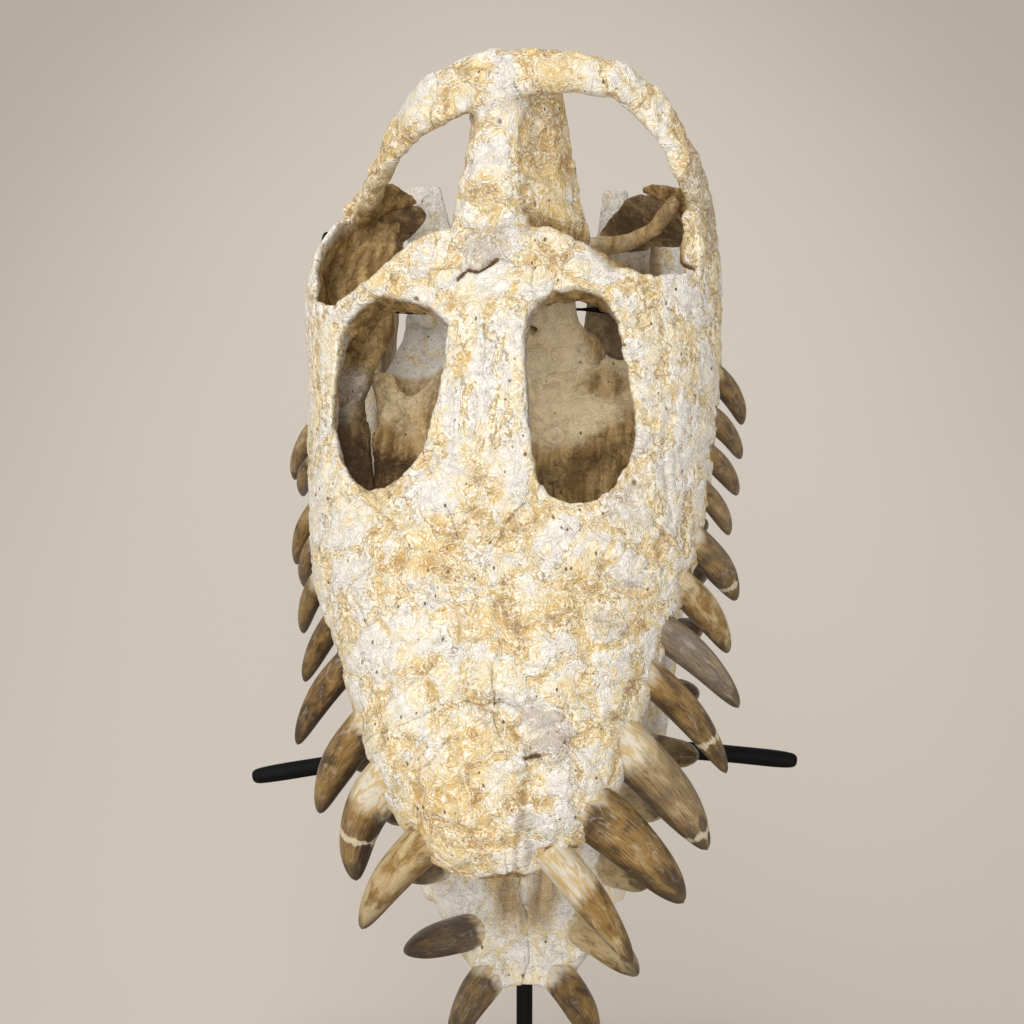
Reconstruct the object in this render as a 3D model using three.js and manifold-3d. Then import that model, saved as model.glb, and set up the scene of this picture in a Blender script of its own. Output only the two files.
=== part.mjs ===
// A long-necked marine reptile's fossil skull, jaws open, held nose-down on a black rod stand.
// Millimetres. World: +Z up, snout towards -Y, origin on the floor under the middle of the model.
// Skull frame: origin at the snout tip, +Y back along the tooth row, +Z up through the roof.
// Jaw frame: origin at the chin tip, +Y back along the jaw, +Z towards the mouth.

import * as THREE from 'three';
import { mergeVertices } from 'three/addons/utils/BufferGeometryUtils.js';
import Module from 'manifold-3d';

const wasm = await Module();
wasm.setup();

// ---- Driving sizes ----

const GAP = 0.35;
const DOME_STEPS = 10;
const DOME_SQUARENESS = 0.92;
const SNOUT = { x: -14, y: -169, z: 312 };
const SKULL_PITCH = THREE.MathUtils.degToRad(40);
const SKULL_ROLL = THREE.MathUtils.degToRad(-8);
const SKULL_YAW = THREE.MathUtils.degToRad(-2);
const CHIN = { x: 0, y: -82.3, z: 200.7 };
const JAW_PITCH = THREE.MathUtils.degToRad(54);

const ROOF_LENGTH = 350;
const WALL = 6;
const ROOF_THICKNESS = 13;
const SNOUT_END = 158;
const PALATE = { left: -84, right: 88, front: 150, end: 262, bottom: -5, top: 2 };
const PREMAXILLA_END = 64;
const MAXILLA_END = 236;

const JAW_LENGTH = 397;
const SYMPHYSIS = 74;

const ROD_RADIUS = 4.5;
const ROD_SIDES = 8;
const CRADLE_RADIUS = 3.2;
const BASE = { width: 300, depth: 270, thickness: 12, corner: 18 };

const POST = { x: 0, y: -53 };
const JAW_ROD = { y: 20, z: 272.5, reach: 138, droop: 12.5 };
const CRADLE = { y: 68.5, z: 495.6 };

const BONE_COLOUR = 0xe6d8b4;
const INNER_BONE_COLOUR = 0x9a7a4c;
const JAW_COLOUR = 0xe9e2d0;
const STAND_COLOUR = 0x141414;

// ---- Shapes from curves ----

/** A smooth function through [place, value] pairs. */
function profile(pairs) {
  const slope = (i) => {
    const before = pairs[Math.max(i - 1, 0)];
    const after = pairs[Math.min(i + 1, pairs.length - 1)];
    return (after[1] - before[1]) / (after[0] - before[0]);
  };
  return (at) => {
    const place = THREE.MathUtils.clamp(at, pairs[0][0], pairs[pairs.length - 1][0]);
    let i = 0;
    while (i < pairs.length - 2 && place > pairs[i + 1][0]) {
      i += 1;
    }
    const span = pairs[i + 1][0] - pairs[i][0];
    const t = (place - pairs[i][0]) / span;
    const ease = t * t * (3 - 2 * t);
    const leave = t * (1 - t) * (1 - t) * span * slope(i);
    const arrive = t * t * (t - 1) * span * slope(i + 1);
    return pairs[i][1] * (1 - ease) + pairs[i + 1][1] * ease + leave + arrive;
  };
}

/** A closed skin over a row of rings, each with the same number of points, with flat ends. */
function skin(rings) {
  const size = rings[0].length;
  const positions = [];
  const triangles = [];
  for (const ring of rings) {
    for (const point of ring) {
      positions.push(point.x, point.y, point.z);
    }
  }
  const addCap = (ringIndex, facesBack) => {
    const centre = new THREE.Vector3();
    rings[ringIndex].forEach((point) => centre.addScaledVector(point, 1 / size));
    const hub = positions.length / 3;
    positions.push(centre.x, centre.y, centre.z);
    for (let i = 0; i < size; i += 1) {
      const a = ringIndex * size + i;
      const b = ringIndex * size + (i + 1) % size;
      triangles.push(...(facesBack ? [hub, b, a] : [hub, a, b]));
    }
  };
  for (let r = 0; r < rings.length - 1; r += 1) {
    for (let i = 0; i < size; i += 1) {
      const a = r * size + i;
      const b = r * size + (i + 1) % size;
      triangles.push(a, b, a + size, b, b + size, a + size);
    }
  }
  addCap(0, true);
  addCap(rings.length - 1, false);
  const geometry = new THREE.BufferGeometry();
  geometry.setAttribute('position', new THREE.Float32BufferAttribute(positions, 3));
  geometry.setIndex(signedVolume(positions, triangles) < 0 ? triangles.reverse() : triangles);
  return geometry;
}

function signedVolume(positions, triangles) {
  const corner = (i) => new THREE.Vector3().fromArray(positions, triangles[i] * 3);
  let volume = 0;
  for (let i = 0; i < triangles.length; i += 3) {
    volume += corner(i).dot(corner(i + 1).cross(corner(i + 2))) / 6;
  }
  return volume;
}

/** A manifold solid from any closed three.js geometry. */
function solid(geometry) {
  const bare = geometry.clone();
  bare.deleteAttribute('normal');
  bare.deleteAttribute('uv');
  const merged = mergeVertices(bare, 1e-4);
  return new wasm.Manifold(new wasm.Mesh({
    numProp: 3,
    vertProperties: new Float32Array(merged.attributes.position.array),
    triVerts: new Uint32Array(merged.index.array),
  }));
}

function toGeometry(manifold) {
  const mesh = manifold.getMesh();
  const geometry = new THREE.BufferGeometry();
  geometry.setAttribute('position', new THREE.BufferAttribute(new Float32Array(mesh.vertProperties), 3));
  geometry.setIndex(new THREE.BufferAttribute(new Uint32Array(mesh.triVerts), 1));
  const facets = geometry.toNonIndexed();
  facets.computeVertexNormals();
  return facets;
}

function join(pieces) {
  return pieces.reduce((whole, piece) => whole.add(piece));
}

/** A point on a unit ring; squareness 1 is an ellipse, smaller is boxier. */
function ringPoint(angle, squareness) {
  const bend = (value) => Math.sign(value) * Math.abs(value) ** squareness;
  return [bend(Math.cos(angle)), bend(Math.sin(angle))];
}

/**
 * A bone bar along a smooth line. Each station has its middle (at), its half-width along
 * the across direction (wide) and its other half-thickness (thick).
 */
function limb(stations, across, { steps = 8, sides = 8, squareness = 0.85 } = {}) {
  const line = new THREE.CatmullRomCurve3(stations.map((s) => new THREE.Vector3(...s.at)));
  const last = stations.length - 1;
  const wide = profile(stations.map((s, i) => [i / last, s.wide]));
  const thick = profile(stations.map((s, i) => [i / last, s.thick]));
  const rings = [];
  for (let step = 0; step <= steps; step += 1) {
    const t = step / steps;
    const middle = line.getPoint(t);
    const along = line.getTangent(t);
    const up = new THREE.Vector3().crossVectors(along, new THREE.Vector3(...across)).normalize();
    const side = new THREE.Vector3().crossVectors(up, along).normalize();
    const ring = [];
    for (let i = 0; i < sides; i += 1) {
      const [u, v] = ringPoint((2 * Math.PI * i) / sides + Math.PI / sides, squareness);
      ring.push(middle.clone().addScaledVector(side, u * wide(t)).addScaledVector(up, v * thick(t)));
    }
    rings.push(ring);
  }
  return solid(skin(rings));
}

/** A flat-ended prism of a plan outline, standing on bottom and reaching to top. */
function prism(outline, bottom, top) {
  const shape = new THREE.Shape(outline.map(([x, y]) => new THREE.Vector2(x, y)));
  const geometry = new THREE.ExtrudeGeometry(shape, { depth: top - bottom, bevelEnabled: false });
  return solid(geometry.translate(0, 0, bottom));
}

/** The smooth closed plan outline through a few corners. */
function smoothOutline(corners, count) {
  const line = new THREE.CatmullRomCurve3(
    corners.map(([x, y]) => new THREE.Vector3(x, y, 0)), true, 'centripetal');
  return line.getPoints(count).slice(0, count).map((point) => [point.x, point.y]);
}

/** A box between two corners. */
function block(low, high) {
  const size = high.map((value, i) => value - low[i]);
  const middle = high.map((value, i) => (value + low[i]) / 2);
  return solid(new THREE.BoxGeometry(...size).translate(...middle));
}

/** A piece cut back so that it keeps a thin gap to its neighbour. */
function clearOf(piece, neighbour) {
  const shape = toGeometry(neighbour);
  const shifts = [[GAP, 0, 0], [-GAP, 0, 0], [0, GAP, 0], [0, -GAP, 0], [0, 0, GAP], [0, 0, -GAP]];
  return shifts.reduce((left, shift) => left.subtract(solid(shape.clone().translate(...shift))), piece);
}

// ---- Teeth ----

const BIG_TOOTH = 10;

/**
 * A curved pointed tooth from its root in the bone to its tip, bowed towards its outside.
 * The allowance makes it thicker and its root deeper all round.
 */
function tooth(root, tip, girth, outside, bow = 0.12, allowance = 0) {
  const rootPoint = new THREE.Vector3(...root);
  const tipPoint = new THREE.Vector3(...tip);
  const along = tipPoint.clone().sub(rootPoint);
  const length = along.length();
  const outward = new THREE.Vector3(...outside);
  outward.addScaledVector(along, -outward.dot(along) / along.lengthSq()).normalize();
  const crown = rootPoint.clone().lerp(tipPoint, 0.5).addScaledVector(outward, bow * length);
  rootPoint.addScaledVector(along, -allowance / length);
  tipPoint.addScaledVector(along, allowance / length);
  const line = new THREE.QuadraticBezierCurve3(rootPoint, crown, tipPoint);
  const sides = girth > BIG_TOOTH ? 6 : 5;
  const rings = [0, 0.48, 0.82, 1].map((t) => {
    const middle = line.getPoint(t);
    const heading = line.getTangent(t);
    const up = new THREE.Vector3().crossVectors(heading, outward).normalize();
    const side = new THREE.Vector3().crossVectors(up, heading).normalize();
    const radius = girth * (1.05 - t ** 2.8) + allowance;
    return Array.from({ length: sides }, (_, i) => {
      const angle = (2 * Math.PI * i) / sides;
      return middle.clone()
        .addScaledVector(side, radius * Math.cos(angle))
        .addScaledVector(up, radius * Math.sin(angle));
    });
  });
  return solid(skin(rings));
}

// Each upper tooth: the place of its root along the skull, its tip, its half-width at the root
// and, where it differs from the rest, how far it bows.
const UPPER_RIGHT_TEETH = [
  { root: 9, tip: [58, -29, -37], girth: 8.2, bow: 0.05 },
  { root: 33, tip: [81, -1, -38], girth: 12.3, bow: 0.09 },
  { root: 65, tip: [92, 24, -38], girth: 11.8, bow: 0.11 },
  { root: 97, tip: [101, 61, -38], girth: 7.6, bow: 0.13 },
  { root: 118, tip: [107, 93, -37], girth: 7.8, bow: 0.12 },
  { root: 141, tip: [102, 121, -37], girth: 7.6, bow: 0.13 },
  { root: 163, tip: [106, 147, -35], girth: 7.8, bow: 0.15 },
  { root: 188, tip: [103, 181, -34], girth: 5.2 },
  { root: 207, tip: [107, 202, -34], girth: 5.4 },
  { root: 227, tip: [109, 221, -33], girth: 5.2 },
  { root: 250, tip: [110, 239, -32], girth: 5.6, bow: 0.16 },
];
const UPPER_LEFT_TEETH = [
  { root: 18, tip: [-69, -10, -38], girth: 9.2, bow: 0.12 },
  { root: 51, tip: [-73, 14, -40], girth: 10.4, bow: 0.2 },
  { root: 77, tip: [-92, 47, -38], girth: 8.8, bow: 0.12 },
  { root: 107, tip: [-105, 82, -38], girth: 6.8, bow: 0.1 },
  { root: 128, tip: [-103, 114, -37], girth: 5.6, bow: 0.06 },
  { root: 151, tip: [-105, 139, -36], girth: 5.2, bow: 0.09 },
  { root: 169, tip: [-105, 163, -35], girth: 5.2, bow: 0.11 },
  { root: 187, tip: [-110, 175, -34], girth: 5, bow: 0.1 },
  { root: 212, tip: [-108, 211, -31], girth: 4.8, bow: 0.12 },
  { root: 230, tip: [-113, 220, -31], girth: 5, bow: 0.12 },
];
// Each lower tooth: its root in the plan of the jaw, its tip and its half-width at the root.
const LOWER_RIGHT_TEETH = [
  { root: [13, 5], tip: [34, -33, 20], girth: 8.5 },
  { root: [22, 28], tip: [54, 0, 32], girth: 9 },
  { root: [40, 56], tip: [58, 44, 36], girth: 9.5 },
  { root: [50, 86], tip: [66, 80, 34], girth: 8.5 },
  { root: [60, 113], tip: [84, 106, 32], girth: 8 },
  { root: [66, 142], tip: [84, 137, 32], girth: 7.5 },
  { root: [72, 172], tip: [86, 170, 30], girth: 7 },
  { root: [76, 200], tip: [89, 198, 28], girth: 6.5 },
  { root: [78, 225], tip: [90, 224, 25], girth: 6 },
  { root: [79, 247], tip: [90, 247, 22], girth: 5.5 },
];
const LOWER_LEFT_TEETH = [
  { root: [-14, 5], tip: [-35, -33, 20], girth: 8.5 },
  { root: [-20, 24], tip: [-58, 11, 34], girth: 9 },
  { root: [-40, 58], tip: [-57, 49, 36], girth: 9.5 },
  { root: [-50, 86], tip: [-67, 77, 34], girth: 8.5 },
  { root: [-60, 112], tip: [-84, 102, 32], girth: 8 },
  { root: [-66, 140], tip: [-83, 136, 32], girth: 7.5 },
  { root: [-72, 170], tip: [-86, 167, 30], girth: 7 },
  { root: [-76, 198], tip: [-89, 196, 28], girth: 6.5 },
  { root: [-78, 224], tip: [-90, 223, 25], girth: 6 },
  { root: [-79, 247], tip: [-90, 247, 22], girth: 5.5 },
];

// ---- Skull roof, cheeks and snout ----

const halfWidth = profile([
  [0, 15], [4, 26], [12, 36], [36, 52], [56, 61], [89, 71], [115, 79],
  [136, 87], [161, 93], [208, 98], [250, 100.5], [300, 102], [330, 94], [350, 84],
]);
const middleX = profile([[0, 5], [36, 2], [115, 0], [250, 2.5], [310, 3], [350, 13]]);
const roofHeight = profile([
  [0, 11], [12, 24], [36, 36], [75, 44], [116, 52], [160, 62], [208, 69], [250, 71], [290, 78], [350, 88],
]);
const marginHeight = profile([[0, 0], [240, 0], [275, 5], [305, 10], [350, 8]]);

/** One dome-shaped section of the skull, shrunk inwards by wall and lowered by roof. */
function domeSection(y, wall, roof, bottom) {
  const rise = roofHeight(y) - bottom - roof;
  const reach = halfWidth(y) - wall;
  const ring = [];
  for (let i = 0; i <= DOME_STEPS; i += 1) {
    const [u, v] = ringPoint((Math.PI * i) / DOME_STEPS, DOME_SQUARENESS);
    ring.push(new THREE.Vector3(middleX(y) + u * reach, y, bottom + v * rise));
  }
  for (const across of [-0.5, 0, 0.5]) {
    ring.push(new THREE.Vector3(middleX(y) + across * reach, y, bottom));
  }
  return ring;
}

function domeLoft(places, wall, roof, bottomAt) {
  return solid(skin(places.map((y) => domeSection(y, wall, roof, bottomAt(y)))));
}

const LEFT_ORBIT = smoothOutline([
  [-19, 249], [-19, 231], [-22, 212], [-29, 186], [-37, 177], [-52, 171],
  [-65, 183], [-75, 207], [-76, 233], [-72, 256], [-60, 268], [-43, 266], [-29, 259],
], 20);
const RIGHT_ORBIT = smoothOutline([
  [20, 254], [18, 230], [20, 200], [24, 174], [31, 161], [46, 160],
  [59, 172], [67, 192], [66, 212], [62, 236], [58, 255], [48, 264], [36, 263],
], 20);
const LEFT_TEMPORAL = [
  [-8, 294], [-24, 294], [-33, 293], [-48, 283], [-56, 278], [-67, 275], [-78, 273],
  [-88, 283], [-88, 305], [-84, 322], [-77, 336], [-66, 350], [-40, 400], [-8, 400],
];
const RIGHT_TEMPORAL = [
  [18, 400], [60, 400], [86, 356], [92, 336], [96, 318], [96, 298],
  [92, 285], [83, 280], [74, 276], [62, 275], [57, 272], [41, 287], [31, 293], [18, 296],
];

/** The snout, cheeks and roof as one shell, solid in front of the eyes and open behind. */
function makeShell() {
  const outside = [0, 3, 10, 22, 40, 64, 92, 124, 160, 208, 256, 292, 324, ROOF_LENGTH];
  const eyeRoom = [SNOUT_END, 190, 225, PALATE.end];
  const rearRoom = [PALATE.end - 0.5, 290, 320, ROOF_LENGTH + 10];
  return domeLoft(outside, 0, 0, marginHeight)
    .subtract(domeLoft(eyeRoom, WALL + 3, ROOF_THICKNESS, () => PALATE.top))
    .subtract(domeLoft(rearRoom, WALL, ROOF_THICKNESS, () => -60))
    .subtract(prism(LEFT_ORBIT, 8, 120))
    .subtract(prism(RIGHT_ORBIT, 8, 120))
    .subtract(prism(LEFT_TEMPORAL, -80, 160))
    .subtract(prism(RIGHT_TEMPORAL, -80, 160));
}

/** The plate that floors the eye sockets, from cheek to cheek. */
function makePalate() {
  const { left, right, front, end, bottom, top } = PALATE;
  const notch = prism([[-63, end + 9], [-54, 250], [-49, 246], [-42, 252], [-33, end + 5]], -20, 20);
  return block([left, front, bottom], [right, end, top]).subtract(notch);
}

/** The narrow slits between the palate and the cheeks. */
function makePalateSlits() {
  const left = prism([[-78, 264], [-71, 264], [-64, 230], [-69, 230]], -20, 20);
  const right = prism([[74, 264], [80, 264], [70, 233], [67, 233]], -20, 20);
  return left.add(right);
}

/** The roof of the braincase: a rounded crest with a crease and a flared flank on its right. */
function makeParietal() {
  const ridge = profile([[262, 66], [285, 77], [310, 86], [345, 94], [374, 103]]);
  const leftEdge = profile([[262, -22], [290, -18], [307, -14], [325, -11], [355, -6], [374, -12]]);
  const rightEdge = profile([[262, 20], [290, 20], [330, 20], [374, 22]]);
  const flare = profile([[262, 20], [290, 43], [308, 46], [320, 41], [345, 38], [374, 34]]);
  const depth = profile([[262, 12], [290, 34], [320, 40], [350, 34], [374, 18]]);
  const crease = profile([[262, 3], [290, 11], [320, 15], [350, 15], [374, 7]]);
  const rings = [262, 276, 290, 305, 322, 342, 360, 374].map((y) => {
    const [left, right, foot, groove] = [leftEdge(y), rightEdge(y), -depth(y), -crease(y)];
    const shoulder = (right - left) * 0.22;
    return [
      [left - 1, foot],
      [left - 1, foot * 0.5],
      [left, groove * 0.65],
      [left + shoulder, groove * 0.12],
      [(left + right) / 2, 1],
      [right - shoulder, groove * 0.12],
      [right, groove * 0.65],
      [right + 1, groove],
      [(right + flare(y)) / 2 + 2, foot * 0.6],
      [flare(y), foot],
      [flare(y) - 4, foot - 4],
      [4, foot - 4],
    ].map(([x, drop]) => new THREE.Vector3(x, y, ridge(y) + drop));
  });
  return solid(skin(rings));
}

/** The squamosal arches that run from the rear of the ridge down to the jaw joints. */
function makeArches() {
  const left = limb([
    { at: [14, 364, 98], wide: 14, thick: 7 },
    { at: [-18, 359, 93], wide: 15, thick: 6 },
    { at: [-40, 354.5, 76], wide: 13, thick: 5 },
    { at: [-54, 348, 56], wide: 9.5, thick: 4.5 },
    { at: [-65, 346, 34], wide: 8.5, thick: 5 },
    { at: [-74, 350, 8], wide: 13, thick: 4 },
    { at: [-78, 364, -26], wide: 9, thick: 8 },
  ], [0.12, 1, 0.2], { steps: 10 });
  const right = limb([
    { at: [4, 364, 98], wide: 14, thick: 7 },
    { at: [40, 365, 96], wide: 10.5, thick: 6 },
    { at: [67, 360, 88], wide: 10, thick: 6 },
    { at: [84, 345, 73], wide: 11, thick: 5 },
    { at: [95, 325, 50], wide: 13, thick: 6 },
    { at: [92, 336, 10], wide: 12, thick: 5 },
    { at: [82, 360, -38], wide: 10, thick: 9 },
  ], [-0.12, 1, 0.2], { steps: 10 });
  return left.add(right);
}

/** The hollow inner plates that brace each jaw joint against the cheek. */
function makeQuadrates() {
  const left = limb([
    { at: [-83, 338, 8], wide: 17, thick: 3 },
    { at: [-67, 351, 3], wide: 21, thick: 3 },
    { at: [-53, 348, -12], wide: 14, thick: 3 },
  ], [0, 0.35, 1], { steps: 4, sides: 6 });
  const right = limb([
    { at: [97, 327, 7], wide: 20, thick: 3 },
    { at: [80, 342, -3], wide: 23, thick: 3 },
    { at: [60, 346, -17], wide: 19, thick: 3 },
    { at: [44, 342, -29], wide: 11, thick: 3 },
  ], [0, 0.35, 1], { steps: 5, sides: 6 });
  return left.add(right);
}

/** The knob on the right cheek and the inner flanges that close the rear of each eye socket. */
function makeCheekFittings() {
  const knob = limb([
    { at: [92, 290, 37], wide: 6, thick: 6 },
    { at: [93, 312, 42], wide: 6, thick: 6 },
  ], [1, 0, 0], { steps: 1, squareness: 1 });
  const knobEnd = solid(new THREE.SphereGeometry(6.2, 8, 5).rotateX(Math.PI / 2).translate(93, 312, 42));
  const leftFlange = limb([
    { at: [-84, 232, 2], wide: 9, thick: 5 },
    { at: [-80, 262, 6], wide: 17, thick: 6 },
    { at: [-74, 282, 9], wide: 22, thick: 5 },
    { at: [-75, 300, 12], wide: 20, thick: 5 },
    { at: [-72, 322, 9], wide: 18, thick: 4 },
    { at: [-70, 343, 4], wide: 16, thick: 4 },
  ], [1, 0, 0.2], { steps: 5, sides: 6 });
  const rightFlange = limb([
    { at: [90, 240, 2], wide: 8, thick: 5 },
    { at: [90, 270, 8], wide: 10, thick: 5 },
    { at: [90, 288, 10], wide: 12, thick: 5 },
    { at: [90, 299, 9], wide: 12, thick: 4 },
  ], [1, 0, -0.2], { steps: 5, sides: 6 });
  return join([knob, knobEnd, leftFlange, rightFlange]);
}

function upperToothRow(teeth, allowance = 0) {
  return join(teeth.map(({ root, tip, girth, bow }) => {
    const side = Math.sign(tip[0]);
    const rim = middleX(root) + side * (halfWidth(root) - girth - 1);
    const inward = root < 20 ? 4 : 0;
    const place = [rim - side * inward, root + inward, 8];
    return tooth(place, tip, girth, [side, 0.2, 0.35], bow, allowance);
  }));
}

// ---- Braincase and pterygoids ----

/** The braincase, flared onto the palate in front, with its condyle and its two side bars. */
function makeBraincase() {
  const core = limb([
    { at: [12, 248, -1], wide: 44, thick: 5 },
    { at: [11, 260, 2], wide: 40, thick: 7 },
    { at: [8, 273, 9], wide: 29, thick: 14 },
    { at: [8, 292, 18], wide: 27, thick: 19 },
    { at: [8, 330, 26], wide: 22, thick: 22 },
    { at: [8, 372, 34], wide: 20, thick: 22 },
  ], [1, 0, 0], { steps: 8 });
  const condyle = solid(new THREE.SphereGeometry(13, 10, 7).rotateX(Math.PI / 2).translate(8, 378, 18));
  const leftBar = limb([
    { at: [0, 322, 6], wide: 8, thick: 8 },
    { at: [-34, 324, -4], wide: 6, thick: 5 },
    { at: [-70, 334, -8], wide: 6, thick: 4 },
  ], [0, 1, 0.4], { steps: 3, sides: 6 });
  const rightBar = limb([
    { at: [16, 322, 8], wide: 8, thick: 8 },
    { at: [45, 325, 0], wide: 5.5, thick: 5 },
    { at: [66, 330, 0], wide: 5, thick: 4 },
    { at: [84, 342, 16], wide: 5, thick: 4 },
  ], [0, 1, 0.4], { steps: 4, sides: 6 });
  const palateRoom = block([-90, 200, -60], [100, PALATE.end + GAP, PALATE.top + GAP]);
  return join([core, condyle, leftBar, rightBar]).subtract(palateRoom);
}

/** A plate with two ridges that runs from the palate back towards a jaw joint. */
function makePterygoid(outerX, innerX, rear, drop) {
  const ridge = ([front, waist, back, end], length) => limb([
    { at: [front, 254, -12], wide: 9, thick: 5 },
    { at: [waist, 300, -23 + drop], wide: 8, thick: 5 },
    { at: [back, 340, -26 + drop], wide: 8, thick: 4.5 },
    { at: [end, length, -27 + drop], wide: 8, thick: 4 },
  ], [1, 0, 0], { steps: 4, sides: 6 });
  const middle = outerX.map((x, i) => (x + innerX[i]) / 2);
  const web = limb([
    { at: [middle[0], 255, -14], wide: 14, thick: 2.5 },
    { at: [middle[1], 300, -25 + drop], wide: 12, thick: 2.5 },
    { at: [middle[2], 340, -28 + drop], wide: 10, thick: 2.5 },
  ], [1, 0, 0], { steps: 3, sides: 6 });
  return join([ridge(outerX, rear[0]), ridge(innerX, rear[1]), web]);
}

// ---- Lower jaw ----

const chinWidth = profile([[-4, 13], [3, 25], [15, 35], [35, 45], [60, 54], [SYMPHYSIS, 59]]);
const ramusX = profile([
  [40, 38], [90, 56], [150, 68], [220, 78], [300, 80], [360, 77], [JAW_LENGTH + 26, 72],
]);

function makeChin() {
  const rings = [-4, 0, 6, 15, 30, 46, 60, SYMPHYSIS].map((y) => {
    const reach = chinWidth(y);
    const depth = 12 + 15 * Math.min(1, Math.sqrt((y + 4) / 30));
    const points = [
      [-1, -0.35], [-0.92, -0.04], [-0.6, 0.04], [-0.2, -0.06], [0.2, -0.06], [0.6, 0.04],
      [0.92, -0.04], [1, -0.35], [0.85, -0.8], [0.45, -1], [-0.45, -1], [-0.85, -0.8],
    ];
    return points.map(([u, v]) => new THREE.Vector3(u * reach, y, v * depth));
  });
  const notch = prism([[-30, SYMPHYSIS + 5], [0, 50], [30, SYMPHYSIS + 5]], -60, 60);
  return solid(skin(rings)).subtract(notch);
}

function makeRamus(side) {
  const stations = [
    [42, 14, -14, 13], [90, 12, -17, 16], [150, 11, -20, 19], [215, 10, -21, 22],
    [280, 10, -20, 27], [330, 10, -22, 25], [370, 11, -20, 18], [JAW_LENGTH + 12, 8, -18, 11],
  ];
  return limb(stations.map(([y, wide, z, tall]) => (
    { at: [side * (ramusX(y) - 2), y, z], wide, thick: tall }
  )), [1, 0, 0], { steps: 8, squareness: 0.75 });
}

function lowerToothRow(teeth) {
  return join(teeth.map(({ root, tip, girth }) => (
    tooth([...root, -8], tip, girth, [Math.sign(tip[0]), 0, -0.35])
  )));
}

// ---- Stand ----

/** A round rod along a line of points, with tapered ends. */
function rod(points, radius, steps) {
  const line = new THREE.CatmullRomCurve3(points.map((point) => new THREE.Vector3(...point)));
  const across = new THREE.Vector3(...(points[0][0] === points[1][0] ? [1, 0, 0] : [0, 1, 0]));
  const ringAt = (t, share, push) => {
    const along = line.getTangent(t);
    const middle = line.getPoint(t).addScaledVector(along, push);
    const up = new THREE.Vector3().crossVectors(along, across).normalize();
    const side = new THREE.Vector3().crossVectors(up, along).normalize();
    return Array.from({ length: ROD_SIDES }, (_, i) => {
      const angle = (2 * Math.PI * (i + 0.5)) / ROD_SIDES;
      return middle.clone()
        .addScaledVector(side, radius * share * Math.cos(angle))
        .addScaledVector(up, radius * share * Math.sin(angle));
    });
  };
  const body = Array.from({ length: steps + 1 }, (_, step) => ringAt(step / steps, 1, 0));
  return solid(skin([ringAt(0, 0.55, -radius * 0.6), ...body, ringAt(1, 0.55, radius * 0.6)]));
}

function makeBase() {
  const { width, depth, thickness, corner } = BASE;
  const shape = new THREE.Shape();
  const right = width / 2 - corner;
  const back = depth / 2 - corner;
  shape.absarc(right, back, corner, 0, Math.PI / 2);
  shape.absarc(-right, back, corner, Math.PI / 2, Math.PI);
  shape.absarc(-right, -back, corner, Math.PI, 1.5 * Math.PI);
  shape.absarc(right, -back, corner, 1.5 * Math.PI, 2 * Math.PI);
  const options = { depth: thickness, bevelEnabled: false, curveSegments: 5 };
  return solid(new THREE.ExtrudeGeometry(shape, options));
}

/** The upright, bent back under the chin to the rod that carries the lower jaw. */
function makePost() {
  const foot = BASE.thickness + GAP + ROD_RADIUS * 0.6;
  const { x, y } = POST;
  return rod([
    [x, y, foot], [x, y, foot + 60], [x, y, 138], [x, y + 5, 170],
    [x, y + 24, 206], [x, JAW_ROD.y - 5, JAW_ROD.z - 9],
  ], ROD_RADIUS, 12);
}

/** The drooping crosswise rod on which the lower jaw lies. */
function makeJawRod() {
  const tilt = 0.034;
  const points = [-1, -0.66, -0.33, 0, 0.33, 0.66, 1].map((share) => {
    const x = share * JAW_ROD.reach;
    return [x, JAW_ROD.y, JAW_ROD.z - JAW_ROD.droop * share * share + tilt * x];
  });
  return rod(points, ROD_RADIUS + 0.4, 10);
}

/** The arm that rises between the jaws to the cradle under the braincase. */
function makeArm() {
  return rod([
    [POST.x, JAW_ROD.y + 2, JAW_ROD.z + 9],
    [POST.x, (JAW_ROD.y + CRADLE.y) / 2, (JAW_ROD.z + CRADLE.z) / 2],
    [POST.x, CRADLE.y - 1.5, CRADLE.z - 7.5],
  ], ROD_RADIUS, 4);
}

/** The upturned crosswise rod that carries the cranium. */
function makeCradle() {
  return rod([
    [-99.5, CRADLE.y + 34, CRADLE.z + 26], [-99.5, CRADLE.y + 21, CRADLE.z + 13],
    [-88, CRADLE.y + 6, CRADLE.z + 3],
    [-60, CRADLE.y, CRADLE.z], [0, CRADLE.y, CRADLE.z], [60, CRADLE.y, CRADLE.z],
    [84, CRADLE.y + 6, CRADLE.z + 4], [92, CRADLE.y + 20, CRADLE.z + 16],
  ], CRADLE_RADIUS, 15);
}

// ---- Assembly ----

const model = new THREE.Group();
const skull = new THREE.Group();
skull.position.set(SNOUT.x, SNOUT.y, SNOUT.z);
skull.rotation.set(SKULL_PITCH, SKULL_ROLL, SKULL_YAW, 'ZXY');
const jaw = new THREE.Group();
jaw.position.set(CHIN.x, CHIN.y, CHIN.z);
jaw.rotation.set(JAW_PITCH, 0, 0);
const stand = new THREE.Group();
model.add(skull, jaw, stand);

function addNode(group, name, manifold, colour, finish = { roughness: 0.85, metalness: 0 }) {
  const material = new THREE.MeshStandardMaterial({ color: colour, ...finish });
  const mesh = new THREE.Mesh(toGeometry(manifold), material);
  mesh.name = name;
  group.add(mesh);
}

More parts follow.
